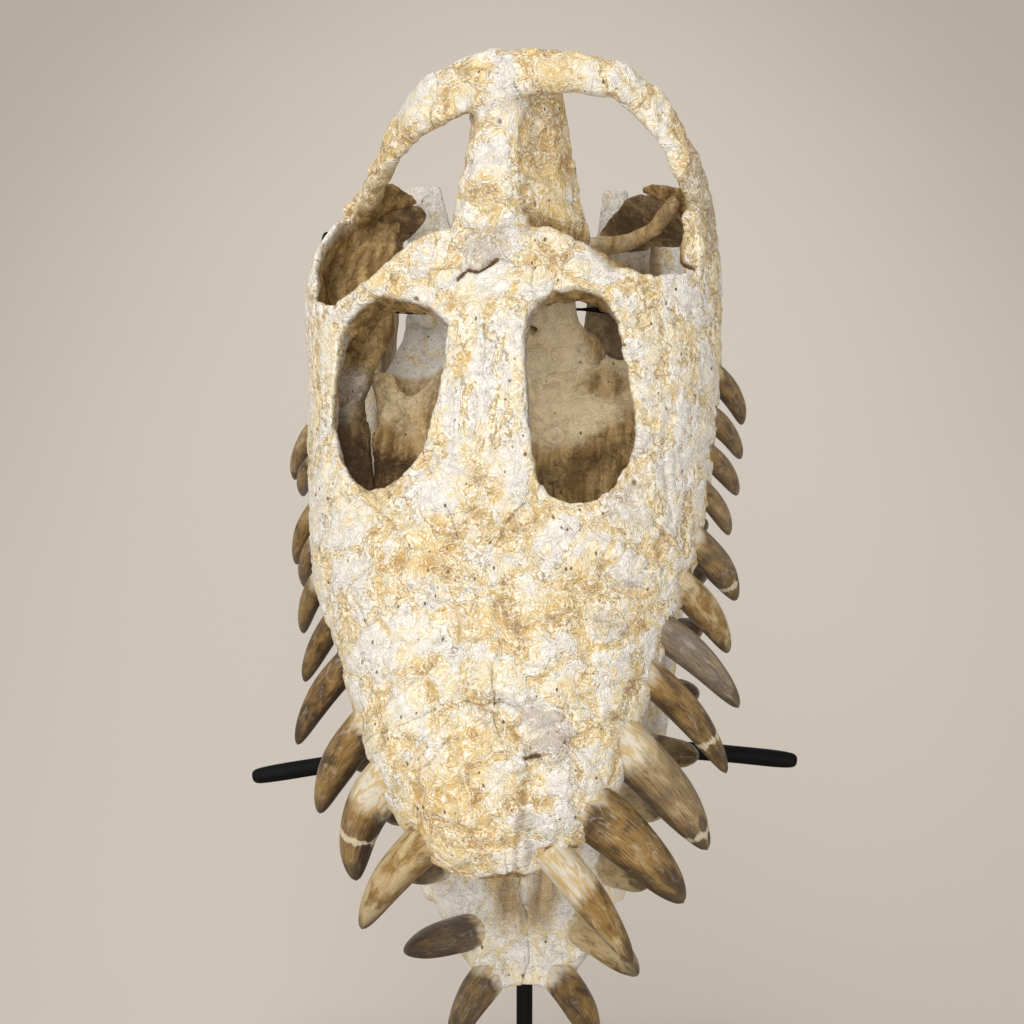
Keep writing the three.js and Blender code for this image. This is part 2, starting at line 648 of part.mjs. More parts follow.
/** A convex plan outline with every side moved outwards. */
function grown(outline, by) {
  const middle = new THREE.Vector2();
  outline.forEach(([x, y]) => middle.add(new THREE.Vector2(x, y).divideScalar(outline.length)));
  const sides = outline.map(([x, y], i) => {
    const [nextX, nextY] = outline[(i + 1) % outline.length];
    const normal = new THREE.Vector2(nextY - y, x - nextX).normalize();
    const outwards = normal.x * (x - middle.x) + normal.y * (y - middle.y) > 0 ? 1 : -1;
    normal.multiplyScalar(outwards);
    return { normal, offset: normal.x * x + normal.y * y + by };
  });
  return sides.map((side, i) => {
    const other = sides[(i + sides.length - 1) % sides.length];
    const cross = side.normal.x * other.normal.y - side.normal.y * other.normal.x;
    return [
      (side.offset * other.normal.y - other.offset * side.normal.y) / cross,
      (side.normal.x * other.offset - other.normal.x * side.offset) / cross,
    ];
  });
}

// Each bone's region in plan, taken in this order; what an earlier bone takes, a later one lacks.
const DEEP = -150;
const PALATE_ROOF = PALATE.top + 0.2;
const HIGH = 180;
const CRANIUM_BONES = [
  ['palate', INNER_BONE_COLOUR, [
    [-60, 150], [66, 150], [74, 200], [80, 265], [-72, 265],
  ], DEEP, PALATE_ROOF],
  ['frontal', BONE_COLOUR, [[0, 126], [24, 168], [24, 276], [-26, 276], [-26, 176]], 24, HIGH],
  ['premaxilla_left', BONE_COLOUR, [[14, -90], [6, 70], [-160, 48], [-160, -90]], DEEP, HIGH],
  ['premaxilla_right', BONE_COLOUR, [[14, -90], [6, 70], [160, 54], [160, -90]], DEEP, HIGH],
  ['maxilla_left', BONE_COLOUR, [[9, 20], [0, 180], [0, 236], [-160, 236], [-160, 20]], DEEP, HIGH],
  ['maxilla_right', BONE_COLOUR, [[9, 20], [0, 180], [0, 230], [160, 230], [160, 20]], DEEP, HIGH],
  ['jugal_left', BONE_COLOUR, [[-40, 200], [-40, 250], [-160, 292], [-160, 200]], DEEP, HIGH],
  ['jugal_right', BONE_COLOUR, [[40, 200], [40, 250], [160, 286], [160, 200]], DEEP, HIGH],
  ['parietal', BONE_COLOUR, [
    [-26, 250], [24, 250], [46, 292], [46, 344], [34, 420], [-22, 420], [-26, 300],
  ], 6, HIGH],
  ['postorbital_left', BONE_COLOUR, [[0, 230], [0, 324], [-160, 288], [-160, 230]], DEEP, HIGH],
  ['postorbital_right', BONE_COLOUR, [[0, 230], [0, 312], [160, 296], [160, 230]], DEEP, HIGH],
  ['quadrate_left', BONE_COLOUR, [[0, 330], [0, 450], [-160, 450], [-160, 330]], DEEP, 4],
  ['quadrate_right', BONE_COLOUR, [[0, 308], [0, 450], [160, 450], [160, 308]], DEEP, 4],
  ['squamosal_left', BONE_COLOUR, [[0, 270], [0, 450], [-160, 450], [-160, 270]], DEEP, HIGH],
  ['squamosal_right', BONE_COLOUR, [[0, 270], [0, 450], [160, 450], [160, 270]], DEEP, HIGH],
];

// The bones that hold the upper teeth, with the reach of each along the tooth row.
const TOOTH_BEARERS = [
  ['premaxilla', 0, PREMAXILLA_END],
  ['maxilla', PREMAXILLA_END, MAXILLA_END],
  ['jugal', MAXILLA_END, ROOF_LENGTH],
];

function upperToothGroups() {
  const groups = new Map();
  for (const [side, teeth] of [['left', UPPER_LEFT_TEETH], ['right', UPPER_RIGHT_TEETH]]) {
    for (const [bone, front, rear] of TOOTH_BEARERS) {
      const held = teeth.filter(({ root }) => root >= front && root < rear);
      if (held.length > 0) {
        const sockets = upperToothRow(held, GAP);
        groups.set(`${bone}_${side}`, { teeth: upperToothRow(held), sockets });
      }
    }
  }
  return groups;
}

/** The cranium's bones, cut from one joined solid along their sutures, each with its teeth. */
function addCranium() {
  const toothGroups = upperToothGroups();
  const shell = makeShell().add(makePalate()).subtract(makePalateSlits());
  let rest = join([shell, makeParietal(), makeArches(), makeQuadrates(), makeCheekFittings()]);
  for (const [name, colour, outline, low, high] of CRANIUM_BONES) {
    let bone = rest.intersect(prism(outline, low, high));
    for (const [bearer, { sockets }] of toothGroups) {
      bone = bearer === name ? bone : bone.subtract(sockets);
    }
    if (toothGroups.has(name)) {
      bone = bone.add(toothGroups.get(name).teeth);
    }
    addNode(skull, name, bone, colour);
    rest = rest.subtract(prism(grown(outline, GAP), low - GAP, high + GAP));
  }
}

/** The bones inside the skull, behind the palate and under the ridge. */
function addInnerBones() {
  const cheeks = makeQuadrates().add(makeArches());
  const braincase = clearOf(clearOf(makeBraincase(), makeParietal()), cheeks);
  addNode(skull, 'braincase', braincase, INNER_BONE_COLOUR);
  const left = makePterygoid([-62, -51, -52, -61], [-41, -36, -41, -52], [384, 384], -2);
  const right = makePterygoid([62, 56, 57, 58], [40, 38, 42, 46], [370, 380], -9);
  for (const [name, wing] of [['left', left], ['right', right]]) {
    addNode(skull, `pterygoid_${name}`, clearOf(clearOf(wing, cheeks), braincase), INNER_BONE_COLOUR);
  }
}

function addJaw() {
  const sides = [[-1, 'left', LOWER_LEFT_TEETH], [1, 'right', LOWER_RIGHT_TEETH]];
  const chin = makeChin();
  for (const [side, name, teeth] of sides) {
    const half = block([side > 0 ? GAP / 2 : -200, -200, -200], [side > 0 ? 200 : -GAP / 2, 600, 200]);
    const bone = join([chin, makeRamus(side), lowerToothRow(teeth)]);
    addNode(jaw, `mandible_${name}`, bone.intersect(half), JAW_COLOUR);
  }
}

function addStand() {
  const finish = { roughness: 0.5, metalness: 0.3 };
  addNode(stand, 'stand_base', makeBase(), STAND_COLOUR, finish);
  addNode(stand, 'stand_post', makePost(), STAND_COLOUR, finish);
  addNode(stand, 'stand_jaw_rod', makeJawRod(), STAND_COLOUR, finish);
  addNode(stand, 'stand_arm', makeArm(), STAND_COLOUR, finish);
  addNode(stand, 'stand_cradle', makeCradle(), STAND_COLOUR, finish);
}

addCranium();
addInnerBones();
addJaw();
addStand();

export default model;
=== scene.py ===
"""A long-necked plesiosaur's fossil skull on its black rod stand: the looks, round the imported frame.

Bones are grown from the frame's solids as fine closed skins, with cracks, pores and fibres in
their shape. Lengths are millimetres in the skull's and the jaw's own frames, metres elsewhere.
"""

import math

import bpy
import numpy as np
import openvdb
from mathutils import Euler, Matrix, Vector


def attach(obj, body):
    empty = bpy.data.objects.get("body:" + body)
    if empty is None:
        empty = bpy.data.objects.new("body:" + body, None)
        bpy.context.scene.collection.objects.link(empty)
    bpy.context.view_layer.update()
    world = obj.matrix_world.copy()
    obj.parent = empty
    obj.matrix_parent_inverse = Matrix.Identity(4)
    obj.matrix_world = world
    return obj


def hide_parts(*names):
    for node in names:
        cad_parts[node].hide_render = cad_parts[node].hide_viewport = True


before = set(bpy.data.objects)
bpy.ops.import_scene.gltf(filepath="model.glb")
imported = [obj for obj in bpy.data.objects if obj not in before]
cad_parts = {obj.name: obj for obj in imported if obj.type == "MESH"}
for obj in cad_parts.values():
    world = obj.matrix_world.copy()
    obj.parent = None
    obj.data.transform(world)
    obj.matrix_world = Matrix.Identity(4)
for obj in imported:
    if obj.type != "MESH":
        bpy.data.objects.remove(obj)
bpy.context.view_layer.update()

# ---- Places ----

METRE = 1000.0


class Place:
    """A frame in millimetres: +Y back along the bone, +Z up through it."""

    def __init__(self, origin, pitch, roll=0.0, yaw=0.0):
        self.origin = np.array(origin, float)
        turn = Euler([math.radians(a) for a in (pitch, roll, yaw)], "YXZ")
        self.turn = np.array(turn.to_matrix())

    def inside(self, points):
        """Row-frame metres to this frame's millimetres."""
        return (points * METRE - self.origin) @ self.turn

    def outside(self, points):
        """This frame's millimetres to row-frame metres."""
        return (points @ self.turn.T + self.origin) / METRE


SKULL = Place((-14, -169, 312), pitch=40, roll=-8, yaw=-2)
JAW = Place((0, -82.3, 200.7), pitch=54)

# ---- Curves ----


class Profile:
    """A smooth function through (place, value) pairs."""

    def __init__(self, *pairs):
        self.at, self.value = (np.array(column, float) for column in zip(*pairs))
        before = np.maximum(np.arange(len(self.at)) - 1, 0)
        after = np.minimum(np.arange(len(self.at)) + 1, len(self.at) - 1)
        rise = self.value[after] - self.value[before]
        self.slope = rise / (self.at[after] - self.at[before])

    def __call__(self, places):
        places = np.clip(places, self.at[0], self.at[-1])
        i = np.clip(np.searchsorted(self.at, places, side="left") - 1, 0, len(self.at) - 2)
        span = self.at[i + 1] - self.at[i]
        t = (places - self.at[i]) / span
        ease = t * t * (3 - 2 * t)
        leave = t * (1 - t) ** 2 * span * self.slope[i]
        arrive = t * t * (t - 1) * span * self.slope[i + 1]
        return self.value[i] * (1 - ease) + self.value[i + 1] * ease + leave + arrive

    def coarse(self, places):
        """The same, as straight lines between the dome's stations."""
        return np.interp(places, DOME_STATIONS, self(np.array(DOME_STATIONS, float)))


def smooth(low, high, value):
    t = np.clip((value - low) / (high - low), 0, 1)
    return t * t * (3 - 2 * t)


def unit(vectors):
    return vectors / np.maximum(np.linalg.norm(vectors, axis=-1, keepdims=True), 1e-9)


# ---- The skull's dome ----

HALF_WIDTH = Profile(
    (0, 15), (4, 26), (12, 36), (36, 52), (56, 61), (89, 71), (115, 79),
    (136, 87), (161, 93), (208, 98), (250, 100.5), (300, 102), (330, 94), (350, 84))
MIDDLE_X = Profile((0, 5), (36, 2), (115, 0), (250, 2.5), (310, 3), (350, 13))
ROOF_HEIGHT = Profile(
    (0, 11), (12, 24), (36, 36), (75, 44), (116, 52), (160, 62), (208, 69), (250, 71),
    (290, 78), (350, 88))
MARGIN_HEIGHT = Profile((0, 0), (240, 0), (275, 5), (305, 10), (350, 8))
DOME_STATIONS = (0, 3, 10, 22, 40, 64, 92, 124, 160, 208, 256, 292, 324, 350)
DOME_STEPS = 10
DOME_SQUARENESS = 0.92
SHORT_TIP = 3.5


def dome_rounding():
    """How far out the frame's flat-sided dome lies, and the round one, by direction."""
    def ring(count):
        angle = np.linspace(0, math.pi, count)
        circle = np.stack([np.cos(angle), np.sin(angle)], 1)
        return np.sign(circle) * np.abs(circle) ** DOME_SQUARENESS

    def cross(a, b):
        return a[:, 0] * b[:, 1] - a[:, 1] * b[:, 0]

    directions = np.linspace(0, math.pi, 721)
    fine, flat = ring(2881), ring(DOME_STEPS + 1)
    fine_angle = np.arctan2(fine[:, 1], fine[:, 0])
    round_reach = np.interp(directions, fine_angle, np.linalg.norm(fine, axis=1))
    flat_angle = np.arctan2(flat[:, 1], flat[:, 0])
    side = np.clip(np.searchsorted(flat_angle, directions) - 1, 0, DOME_STEPS - 1)
    start, end = flat[side], flat[side + 1]
    edge = end - start
    heading = np.stack([np.cos(directions), np.sin(directions)], 1)
    return directions, round_reach, cross(start, edge) / cross(heading, edge)


DIRECTIONS, ROUND_REACH, FLAT_REACH = dome_rounding()


def dome_section(points):
    """(x, z) from the middle of the dome's section and its half-sizes, flat-sided as in the frame."""
    y = points[..., 1]
    bottom, wide = MARGIN_HEIGHT.coarse(y), HALF_WIDTH.coarse(y)
    rise = ROOF_HEIGHT.coarse(y) - bottom
    return points[..., 0] - MIDDLE_X.coarse(y), points[..., 2] - bottom, wide, rise


def depth_in_dome(points):
    """Millimetres below the frame's dome, negative above it."""
    x, z, wide, rise = dome_section(points)
    u, v = x / wide, np.maximum(z, 0) / rise
    reach = np.interp(np.arctan2(v, u), DIRECTIONS, FLAT_REACH)
    level = np.hypot(u, v) / reach
    return (1 - level) * np.hypot(x, z) / np.maximum(level, 0.2)


def depth_in_roof(points):
    """The same, but negative below the roof's lower margin too."""
    return np.minimum(depth_in_dome(points), dome_section(points)[1] + 1)


def rounded(points):
    """Points moved so that the frame's flat-sided dome becomes a round one."""
    x, z, wide, rise = dome_section(points)
    y = points[:, 1]
    direction = np.arctan2(np.maximum(z, 0) / rise, x / wide)
    out = np.interp(direction, DIRECTIONS, ROUND_REACH / FLAT_REACH)
    bottom = MARGIN_HEIGHT(y)
    wider = HALF_WIDTH(y) / wide * out
    shorter = SHORT_TIP * smooth(10, 22, points[:, 0]) * smooth(24, 2, y)
    taller = np.where(z > 0, (ROOF_HEIGHT(y) - bottom) / rise * out, 1)
    return np.stack([MIDDLE_X(y) + x * wider, y + shorter, bottom + z * taller], 1)


# ---- Teeth ----

TOOTH_SIDES = 56
TOOTH_STEPS = 30
TOOTH_FULLNESS = 1.05
TOOTH_TAPER = 2.6
TOOTH_BLUNTNESS = 0.62
ROOT_DEPTH = 8
BOW = 0.12


class Tooth:
    """A pointed tooth from its root to its tip, bowed towards its outside."""

    def __init__(self, root, tip, girth, outside, bow=BOW):
        self.girth = girth
        self.root, self.tip = np.array(root, float), np.array(tip, float)
        along = self.tip - self.root
        outside = np.array(outside, float)
        self.outward = unit(outside - along * (outside @ along) / (along @ along))
        self.crown = (self.root + self.tip) / 2 + self.outward * bow * np.linalg.norm(along)

    def ends(self):
        return np.stack([self.root, self.crown, self.tip])

    def middle(self, t):
        t = t[:, None]
        return (1 - t) ** 2 * self.root + 2 * t * (1 - t) * self.crown + t * t * self.tip

    def heading(self, t):
        t = t[:, None]
        return unit((1 - t) * (self.crown - self.root) + t * (self.tip - self.crown))

    def radius(self, t):
        taper = np.maximum(1 - t ** TOOTH_TAPER, 0) ** TOOTH_BLUNTNESS
        return self.girth * TOOTH_FULLNESS * taper

    def depth(self, points, more=0.0, end=1.0):
        """Millimetres inside the tooth, negative outside, for points near it."""
        t = np.linspace(0, end, 22)
        found = np.full(points.shape[:-1], -1e3)
        for middle, radius in zip(self.middle(t), self.radius(t)):
            found = np.maximum(found, radius + more - np.linalg.norm(points - middle, axis=-1))
        return found


# Each upper tooth: its root's place along the skull, its tip, its half-width and its bow.
UPPER_RIGHT = [
    (9, (58, -29, -37), 8.2, 0.05), (33, (81, -1, -38), 12.3, 0.09),
    (65, (92, 24, -38), 11.8, 0.11), (97, (101, 61, -38), 7.6, 0.13),
    (118, (107, 93, -37), 7.8, 0.12), (141, (102, 121, -37), 7.6, 0.13),
    (163, (106, 147, -35), 7.8, 0.15), (188, (103, 181, -34), 5.2, BOW),
    (207, (107, 202, -34), 5.4, BOW), (227, (109, 221, -33), 5.2, BOW),
    (250, (110, 239, -32), 5.6, 0.16)]
UPPER_LEFT = [
    (18, (-69, -10, -38), 9.2, 0.12), (51, (-73, 14, -40), 10.4, 0.2),
    (77, (-92, 47, -38), 8.8, 0.12), (107, (-105, 82, -38), 6.8, 0.1),
    (128, (-103, 114, -37), 5.6, 0.06), (151, (-105, 139, -36), 5.2, 0.09),
    (169, (-105, 163, -35), 5.2, 0.11), (187, (-110, 175, -34), 5, 0.1),
    (212, (-108, 211, -31), 4.8, 0.12), (230, (-113, 220, -31), 5, 0.12)]
# Each lower tooth: its root in the plan of the jaw, its tip and its half-width.
LOWER_RIGHT = [
    ((13, 5), (34, -33, 20), 8.5), ((22, 28), (54, 0, 32), 9), ((40, 56), (58, 44, 36), 9.5),
    ((50, 86), (66, 80, 34), 8.5), ((60, 113), (84, 106, 32), 8), ((66, 142), (84, 137, 32), 7.5),
    ((72, 172), (86, 170, 30), 7), ((76, 200), (89, 198, 28), 6.5),
    ((78, 225), (90, 224, 25), 6), ((79, 247), (90, 247, 22), 5.5)]
LOWER_LEFT = [
    ((-14, 5), (-35, -33, 20), 8.5), ((-20, 24), (-58, 11, 34), 9), ((-40, 58), (-57, 49, 36), 9.5),
    ((-50, 86), (-67, 77, 34), 8.5), ((-60, 112), (-84, 102, 32), 8),
    ((-66, 140), (-83, 136, 32), 7.5), ((-72, 170), (-86, 167, 30), 7),
    ((-76, 198), (-89, 196, 28), 6.5), ((-78, 224), (-90, 223, 25), 6),
    ((-79, 247), (-90, 247, 22), 5.5)]


def upper_tooth(root, tip, girth, bow):
    side = math.copysign(1, tip[0])
    rim = float(MIDDLE_X(root)) + side * (float(HALF_WIDTH(root)) - girth - 1)
    inward = 4 if root < 20 else 0
    return Tooth((rim - side * inward, root + inward, ROOT_DEPTH), tip, girth, (side, 0.2, 0.35), bow)


def lower_tooth(root, tip, girth):
    return Tooth((*root, -ROOT_DEPTH), tip, girth, (math.copysign(1, tip[0]), 0, -0.35))


UPPER_TEETH = {
    "left": [upper_tooth(*row) for row in UPPER_LEFT],
    "right": [upper_tooth(*row) for row in UPPER_RIGHT],
}
LOWER_TEETH = {
    "left": [lower_tooth(*row) for row in LOWER_LEFT],
    "right": [lower_tooth(*row) for row in LOWER_RIGHT],
}

# ---- Meshes ----


def link(data):
    """A new object of a mesh, a light or a camera, in the scene."""
    made = bpy.data.objects.new(data.name, data)
    bpy.context.scene.collection.objects.link(made)
    return made


def new_mesh(name, points, faces):
    """A smooth-shaded mesh from an array of points and one of faces with equal corner counts."""
    mesh = bpy.data.meshes.new(name)
    corners = faces.shape[1]
    mesh.vertices.add(len(points))
    mesh.vertices.foreach_set("co", points.astype(np.float32).ravel())
    mesh.loops.add(faces.size)
    mesh.loops.foreach_set("vertex_index", faces.astype(np.int32).ravel())
    mesh.polygons.add(len(faces))
    mesh.polygons.foreach_set("loop_start", np.arange(0, faces.size, corners, dtype=np.int32))
    mesh.update(calc_edges=True)
    mesh.shade_smooth()
    return mesh


def set_values(mesh, name, values):
    """Stores a number or a vector for each point of a mesh."""
    vector = values.ndim == 2
    kind = "FLOAT_VECTOR" if vector else "FLOAT"
    attribute = mesh.attributes.new(name, kind, "POINT")
    attribute.data.foreach_set("vector" if vector else "value", values.astype(np.float32).ravel())


def vectors_of(items, name):
    """A vector of each item, such as each vertex's place, as an array."""
    found = np.zeros(len(items) * 3, np.float32)
    items.foreach_get(name, found)
    return found.reshape(-1, 3).astype(float)


# ---- Node trees ----


class Graph:
    """Adds nodes to a shader or geometry tree. Inputs are sockets or plain values."""

    def __init__(self, tree):
        self.tree = tree

    def node(self, kind, inputs, **settings):
        made = self.tree.nodes.new(kind)
        for name, value in settings.items():
            setattr(made, name, value)
        for key, value in inputs.items():
            socket = made.inputs[key]
            if isinstance(value, bpy.types.NodeSocket):
                self.tree.links.new(value, socket)
            else:
                socket.default_value = value
        return made

    def math(self, operation, *values):
        return self.node("ShaderNodeMath", dict(enumerate(values)), operation=operation).outputs[0]

    def vector(self, operation, *values):
        made = self.node("ShaderNodeVectorMath", dict(enumerate(values)), operation=operation)
        return made.outputs["Value" if operation == "LENGTH" else "Vector"]

    def stretched(self, place, factors):
        return self.vector("MULTIPLY", place, factors)

    def noise(self, place, size, detail=2.0, rough=0.5, twist=0.0, output="Fac"):
        """Noise with blobs of about that size, from 0 to 1."""
        inputs = {"Vector": place, "Scale": 1 / size, "Detail": detail, "Roughness": rough,
                  "Distortion": twist}
        return self.node("ShaderNodeTexNoise", inputs).outputs[output]

    def cells(self, place, size, feature="F1"):
        """Distances in random cells of about that size."""
        inputs = {"Vector": place, "Scale": 1 / size}
        return self.node("ShaderNodeTexVoronoi", inputs, feature=feature).outputs["Distance"]

    def ramp(self, value, start, end, low=0.0, high=1.0):
        """low up to start and high from end, smooth between; start may lie above end."""
        if start > end:
            start, end, low, high = end, start, high, low
        inputs = {"Value": value, "From Min": start, "From Max": end, "To Min": low, "To Max": high}
        made = self.node("ShaderNodeMapRange", inputs, interpolation_type="SMOOTHSTEP")
        return made.outputs["Result"]

    def mix(self, share, a, b):
        """Colour a where share is 0, b where it is 1."""
        return self.node("ShaderNodeMix", {0: share, 6: a, 7: b}, data_type="RGBA").outputs[2]

    def blend(self, share, a, b):
        """The same for numbers."""
        return self.node("ShaderNodeMix", {0: share, 2: a, 3: b}, data_type="FLOAT").outputs[0]

    def painted(self, name, output="Fac"):
        """A value stored on a mesh, for a material."""
        return self.node("ShaderNodeAttribute", {}, attribute_name=name).outputs[output]

    def both(self, a, b):
        return self.math("MULTIPLY", a, b)

    def cover(self, colour, top, share, amount):
        """The colour with another on top of it, by a share of an amount."""
        return self.mix(self.both(share, amount), colour, top)

    def add(self, value, noise, amount):
        """A value moved up and down by noise from 0 to 1."""
        return self.math("MULTIPLY_ADD", centred(self, noise), amount, value)


def wandering(g, place, size, reach):
    """The place moved about by up to reach, so that lines drawn by it wander."""
    noise = g.noise(place, size, detail=1, output="Color")
    shift = g.vector("SUBTRACT", noise, (0.5, 0.5, 0.5))
    return g.vector("MULTIPLY_ADD", shift, (2 * reach,) * 3, place)


PLATE_SIZE = 26.0
SPLIT_SIZE = 34.0


def plate_depth(g, place, fibre):
    """Millimetres in from the worn rims of the bone's pale plates, negative between them."""
    where = wandering(g, wandering(g, g.stretched(place, (1, 0.85, 1)), 21, 8), 6, 2.2)
    edge = g.both(g.cells(where, PLATE_SIZE, "DISTANCE_TO_EDGE"), PLATE_SIZE)
    worn = centred(g, g.noise(place, 8, detail=3.5, rough=0.6, twist=0.4))
    plates = g.math("ADD", g.math("MULTIPLY_ADD", worn, 16, edge), -1.9)
    long = centred(g, g.noise(g.stretched(place, (1, 0.3, 1)), 6.5, detail=3.5, rough=0.6, twist=0.4))
    return g.blend(fibre, plates, g.math("MULTIPLY_ADD", long, 20, 1.2))


def centred(g, value):
    return g.math("SUBTRACT", value, 0.5)


def split_distance(g, place):
    """Millimetres to the nearest crack, with few cracks showing."""
    where = wandering(g, wandering(g, place, 18, 7), 3.4, 1.1)
    distance = g.both(g.cells(where, SPLIT_SIZE, "DISTANCE_TO_EDGE"), SPLIT_SIZE)
    hidden = g.ramp(g.noise(place, 20, detail=2), 0.60, 0.53, 0.0, 3.0)
    return g.math("ADD", distance, hidden)


def waves(g, value, step):
    """Bands at equal steps of a value, from 0 to 1 and back."""
    return g.both(g.math("PINGPONG", g.math("DIVIDE", value, step), 0.5), 2)


def pores(g, place, size, reach, share=0.43):
    """Long round pores in a share of the cells: 1 in a pore, 0 outside."""
    distance = g.cells(g.stretched(wandering(g, place, size / 2, size / 7), (1, 0.62, 1)), size)
    luck = g.noise(place, size * 1.7, detail=1)
    widest = g.ramp(luck, 1 - share, 1.12 - share, 0.0, reach)
    return g.ramp(g.math("SUBTRACT", widest, distance), 0.0, reach * 0.35)


def fibres(g, place, size):
    """Streaks along the bone, from 0 to 1."""
    return g.noise(g.stretched(place, (1, 0.14, 1)), size, detail=2.5, rough=0.6, twist=0.3)


# ---- The bones' relief ----

# Sideways shifts (size, reach), then heights.
WOBBLE = (9.0, 0.5)
JAGGED = (3.2, 0.35)
LUMPS = 2.8
BUMPS = 1.7
CREASE = 0.6
PLATE_STEP = 0.5
SPLIT = 0.4
PORE = 1.2
FIBRE = 1.3
MARK = 2.4


def relief_tree():
    """Moves a bone's skin in and out by lumps, creases, plates, cracks, pores and fibres."""
    tree = bpy.data.node_groups.new("relief", "GeometryNodeTree")
    tree.interface.new_socket("Geometry", in_out="INPUT", socket_type="NodeSocketGeometry")
    tree.interface.new_socket("Geometry", in_out="OUTPUT", socket_type="NodeSocketGeometry")
    g = Graph(tree)
    source = tree.nodes.new("NodeGroupInput").outputs[0]

    def stored(name, kind="FLOAT"):
        return g.node("GeometryNodeInputNamedAttribute", {"Name": name}, data_type=kind).outputs[0]

    def scaled(value, amount, share=None):
        value = g.both(value, amount)
        return value if share is None else g.both(value, share)

    place = stored("place", "FLOAT_VECTOR")
    lace, fibre, cracked = stored("lace"), stored("fibre"), stored("cracked")
    plate = plate_depth(g, place, fibre)
    rough = g.both(lace, g.ramp(plate, -1.5, 2.5, 1.0, 0.35))
    crease = g.math("ABSOLUTE", centred(g, g.noise(place, 10, detail=2, twist=0.8)))
    parts = [
        scaled(centred(g, g.noise(place, 16, detail=2, rough=0.5)), LUMPS),
        scaled(centred(g, g.noise(place, 6, detail=3, rough=0.65, twist=0.5)), BUMPS, rough),
        scaled(g.ramp(crease, 0.05, 0.0), -CREASE, rough),
        g.both(g.ramp(plate, -2.5, 2.5, -PLATE_STEP, PLATE_STEP), lace),
        scaled(g.ramp(split_distance(g, place), 0.8, 0.0), -SPLIT, cracked),
        scaled(pores(g, place, 9.0, 0.20), -PORE, g.math("ADD", lace, 0.2)),
        scaled(centred(g, fibres(g, place, 3.4)), FIBRE, fibre),
        scaled(stored("mark"), -MARK),
    ]
    height = parts[0]
    for part in parts[1:]:
        height = g.math("ADD", height, part)
    height = g.both(height, stored("loose"))
    offset = g.vector("SCALE", stored("lift", "FLOAT_VECTOR"))
    tree.links.new(g.math("DIVIDE", height, METRE), offset.node.inputs["Scale"])
    for size, reach in (WOBBLE, JAGGED):
        noise = g.vector("SUBTRACT", g.noise(place, size, detail=1, output="Color"), (0.5, 0.5, 0.5))
        shift = g.vector("SCALE", noise)
        shift.node.inputs["Scale"].default_value = 2 * reach / METRE
        offset = g.vector("ADD", offset, shift)
    moved = g.node("GeometryNodeSetPosition", {"Geometry": source, "Offset": offset}).outputs[0]
    kept = g.node("GeometryNodeStoreNamedAttribute", {
        "Geometry": moved, "Name": "height", "Value": height}, data_type="FLOAT", domain="POINT")
    tree.links.new(kept.outputs[0], tree.nodes.new("NodeGroupOutput").inputs[0])
    return tree


RELIEF = relief_tree()


def with_relief(piece):
    """The piece's mesh with its relief applied."""
    modifier = piece.modifiers.new("relief", "NODES")
    modifier.node_group = RELIEF
    seen = piece.evaluated_get(bpy.context.evaluated_depsgraph_get())
    mesh = bpy.data.meshes.new_from_object(seen)
    piece.modifiers.clear()
    bare, piece.data = piece.data, mesh
    bpy.data.meshes.remove(bare)
    mesh.name = piece.name
    return piece


# ---- Bones ----

SUTURE_OVERLAP = 0.15
BAND = 6
ROOM = 9
SOCKET_OVERLAP = 0.8
CLEARANCE = 0.7
COLLAR = 0.3
COLLAR_END = 0.06
COLLAR_BLEND = 3.0
JAW_TOP = 1.0
SOFT_ROUNDS = 3


def solid_of(node, place):
    """A CAD node's points in a bone frame, and its triangles."""
    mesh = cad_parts[node].data
    mesh.calc_loop_triangles()
    triangles = np.zeros(len(mesh.loop_triangles) * 3, np.int32)
    mesh.loop_triangles.foreach_get("vertices", triangles)
    return place.inside(vectors_of(mesh.vertices, "co")), triangles.reshape(-1, 3)


def span(points, voxel):
    """The first and last grid index of a box with room round some points."""
    low = np.floor(points.min(0) / voxel).astype(int) - ROOM
    return low, np.ceil(points.max(0) / voxel).astype(int) + ROOM


def distance_field(points, triangles, voxel, low, high):
    """Millimetres outside a closed surface, on a grid."""
    grid = openvdb.FloatGrid.createLevelSetFromPolygons(
        points.astype(np.float32), triangles=triangles.astype(np.uint32),
        transform=openvdb.createLinearTransform(voxelSize=voxel), halfWidth=BAND)
    field = np.zeros(high - low + 1, np.float32)
    grid.copyToArray(field, ijk=tuple(low.tolist()))
    return field


def softened(field, rounds):
    """The field with its edges rounded."""
    for _ in range(rounds):
        for axis in range(3):
            padded = np.pad(field, [(1, 1) if a == axis else (0, 0) for a in range(3)], mode="edge")
            first = np.take(padded, range(0, field.shape[axis]), axis)
            last = np.take(padded, range(2, field.shape[axis] + 2), axis)
            field = field / 2 + (first + last) / 4
    return field


def gently_joined(a, b, blend):
    """Two distance fields joined with a smooth fillet."""
    near = np.maximum(blend - np.abs(a - b), 0) / blend
    return np.minimum(a, b) - near * near * blend / 4


def bar_field(points, stations):
    """Millimetres outside a round bar through stations of (x, y, z, radius)."""
    nearest = np.full(points.shape[:-1], np.inf, np.float32)
    for start, end in zip(stations[:-1], stations[1:]):
        along = end[:3] - start[:3]
        t = np.clip(((points - start[:3]) @ along) / max(along @ along, 1e-9), 0, 1)
        away = np.linalg.norm(points - start[:3] - t[..., None] * along, axis=-1)
        nearest = np.minimum(nearest, away - start[3] - t * (end[3] - start[3]))
    return nearest


WAVES = np.array([[0.2, 0.9, -0.4], [-0.9, 0.3, 0.5], [0.5, 0.4, 0.8]])


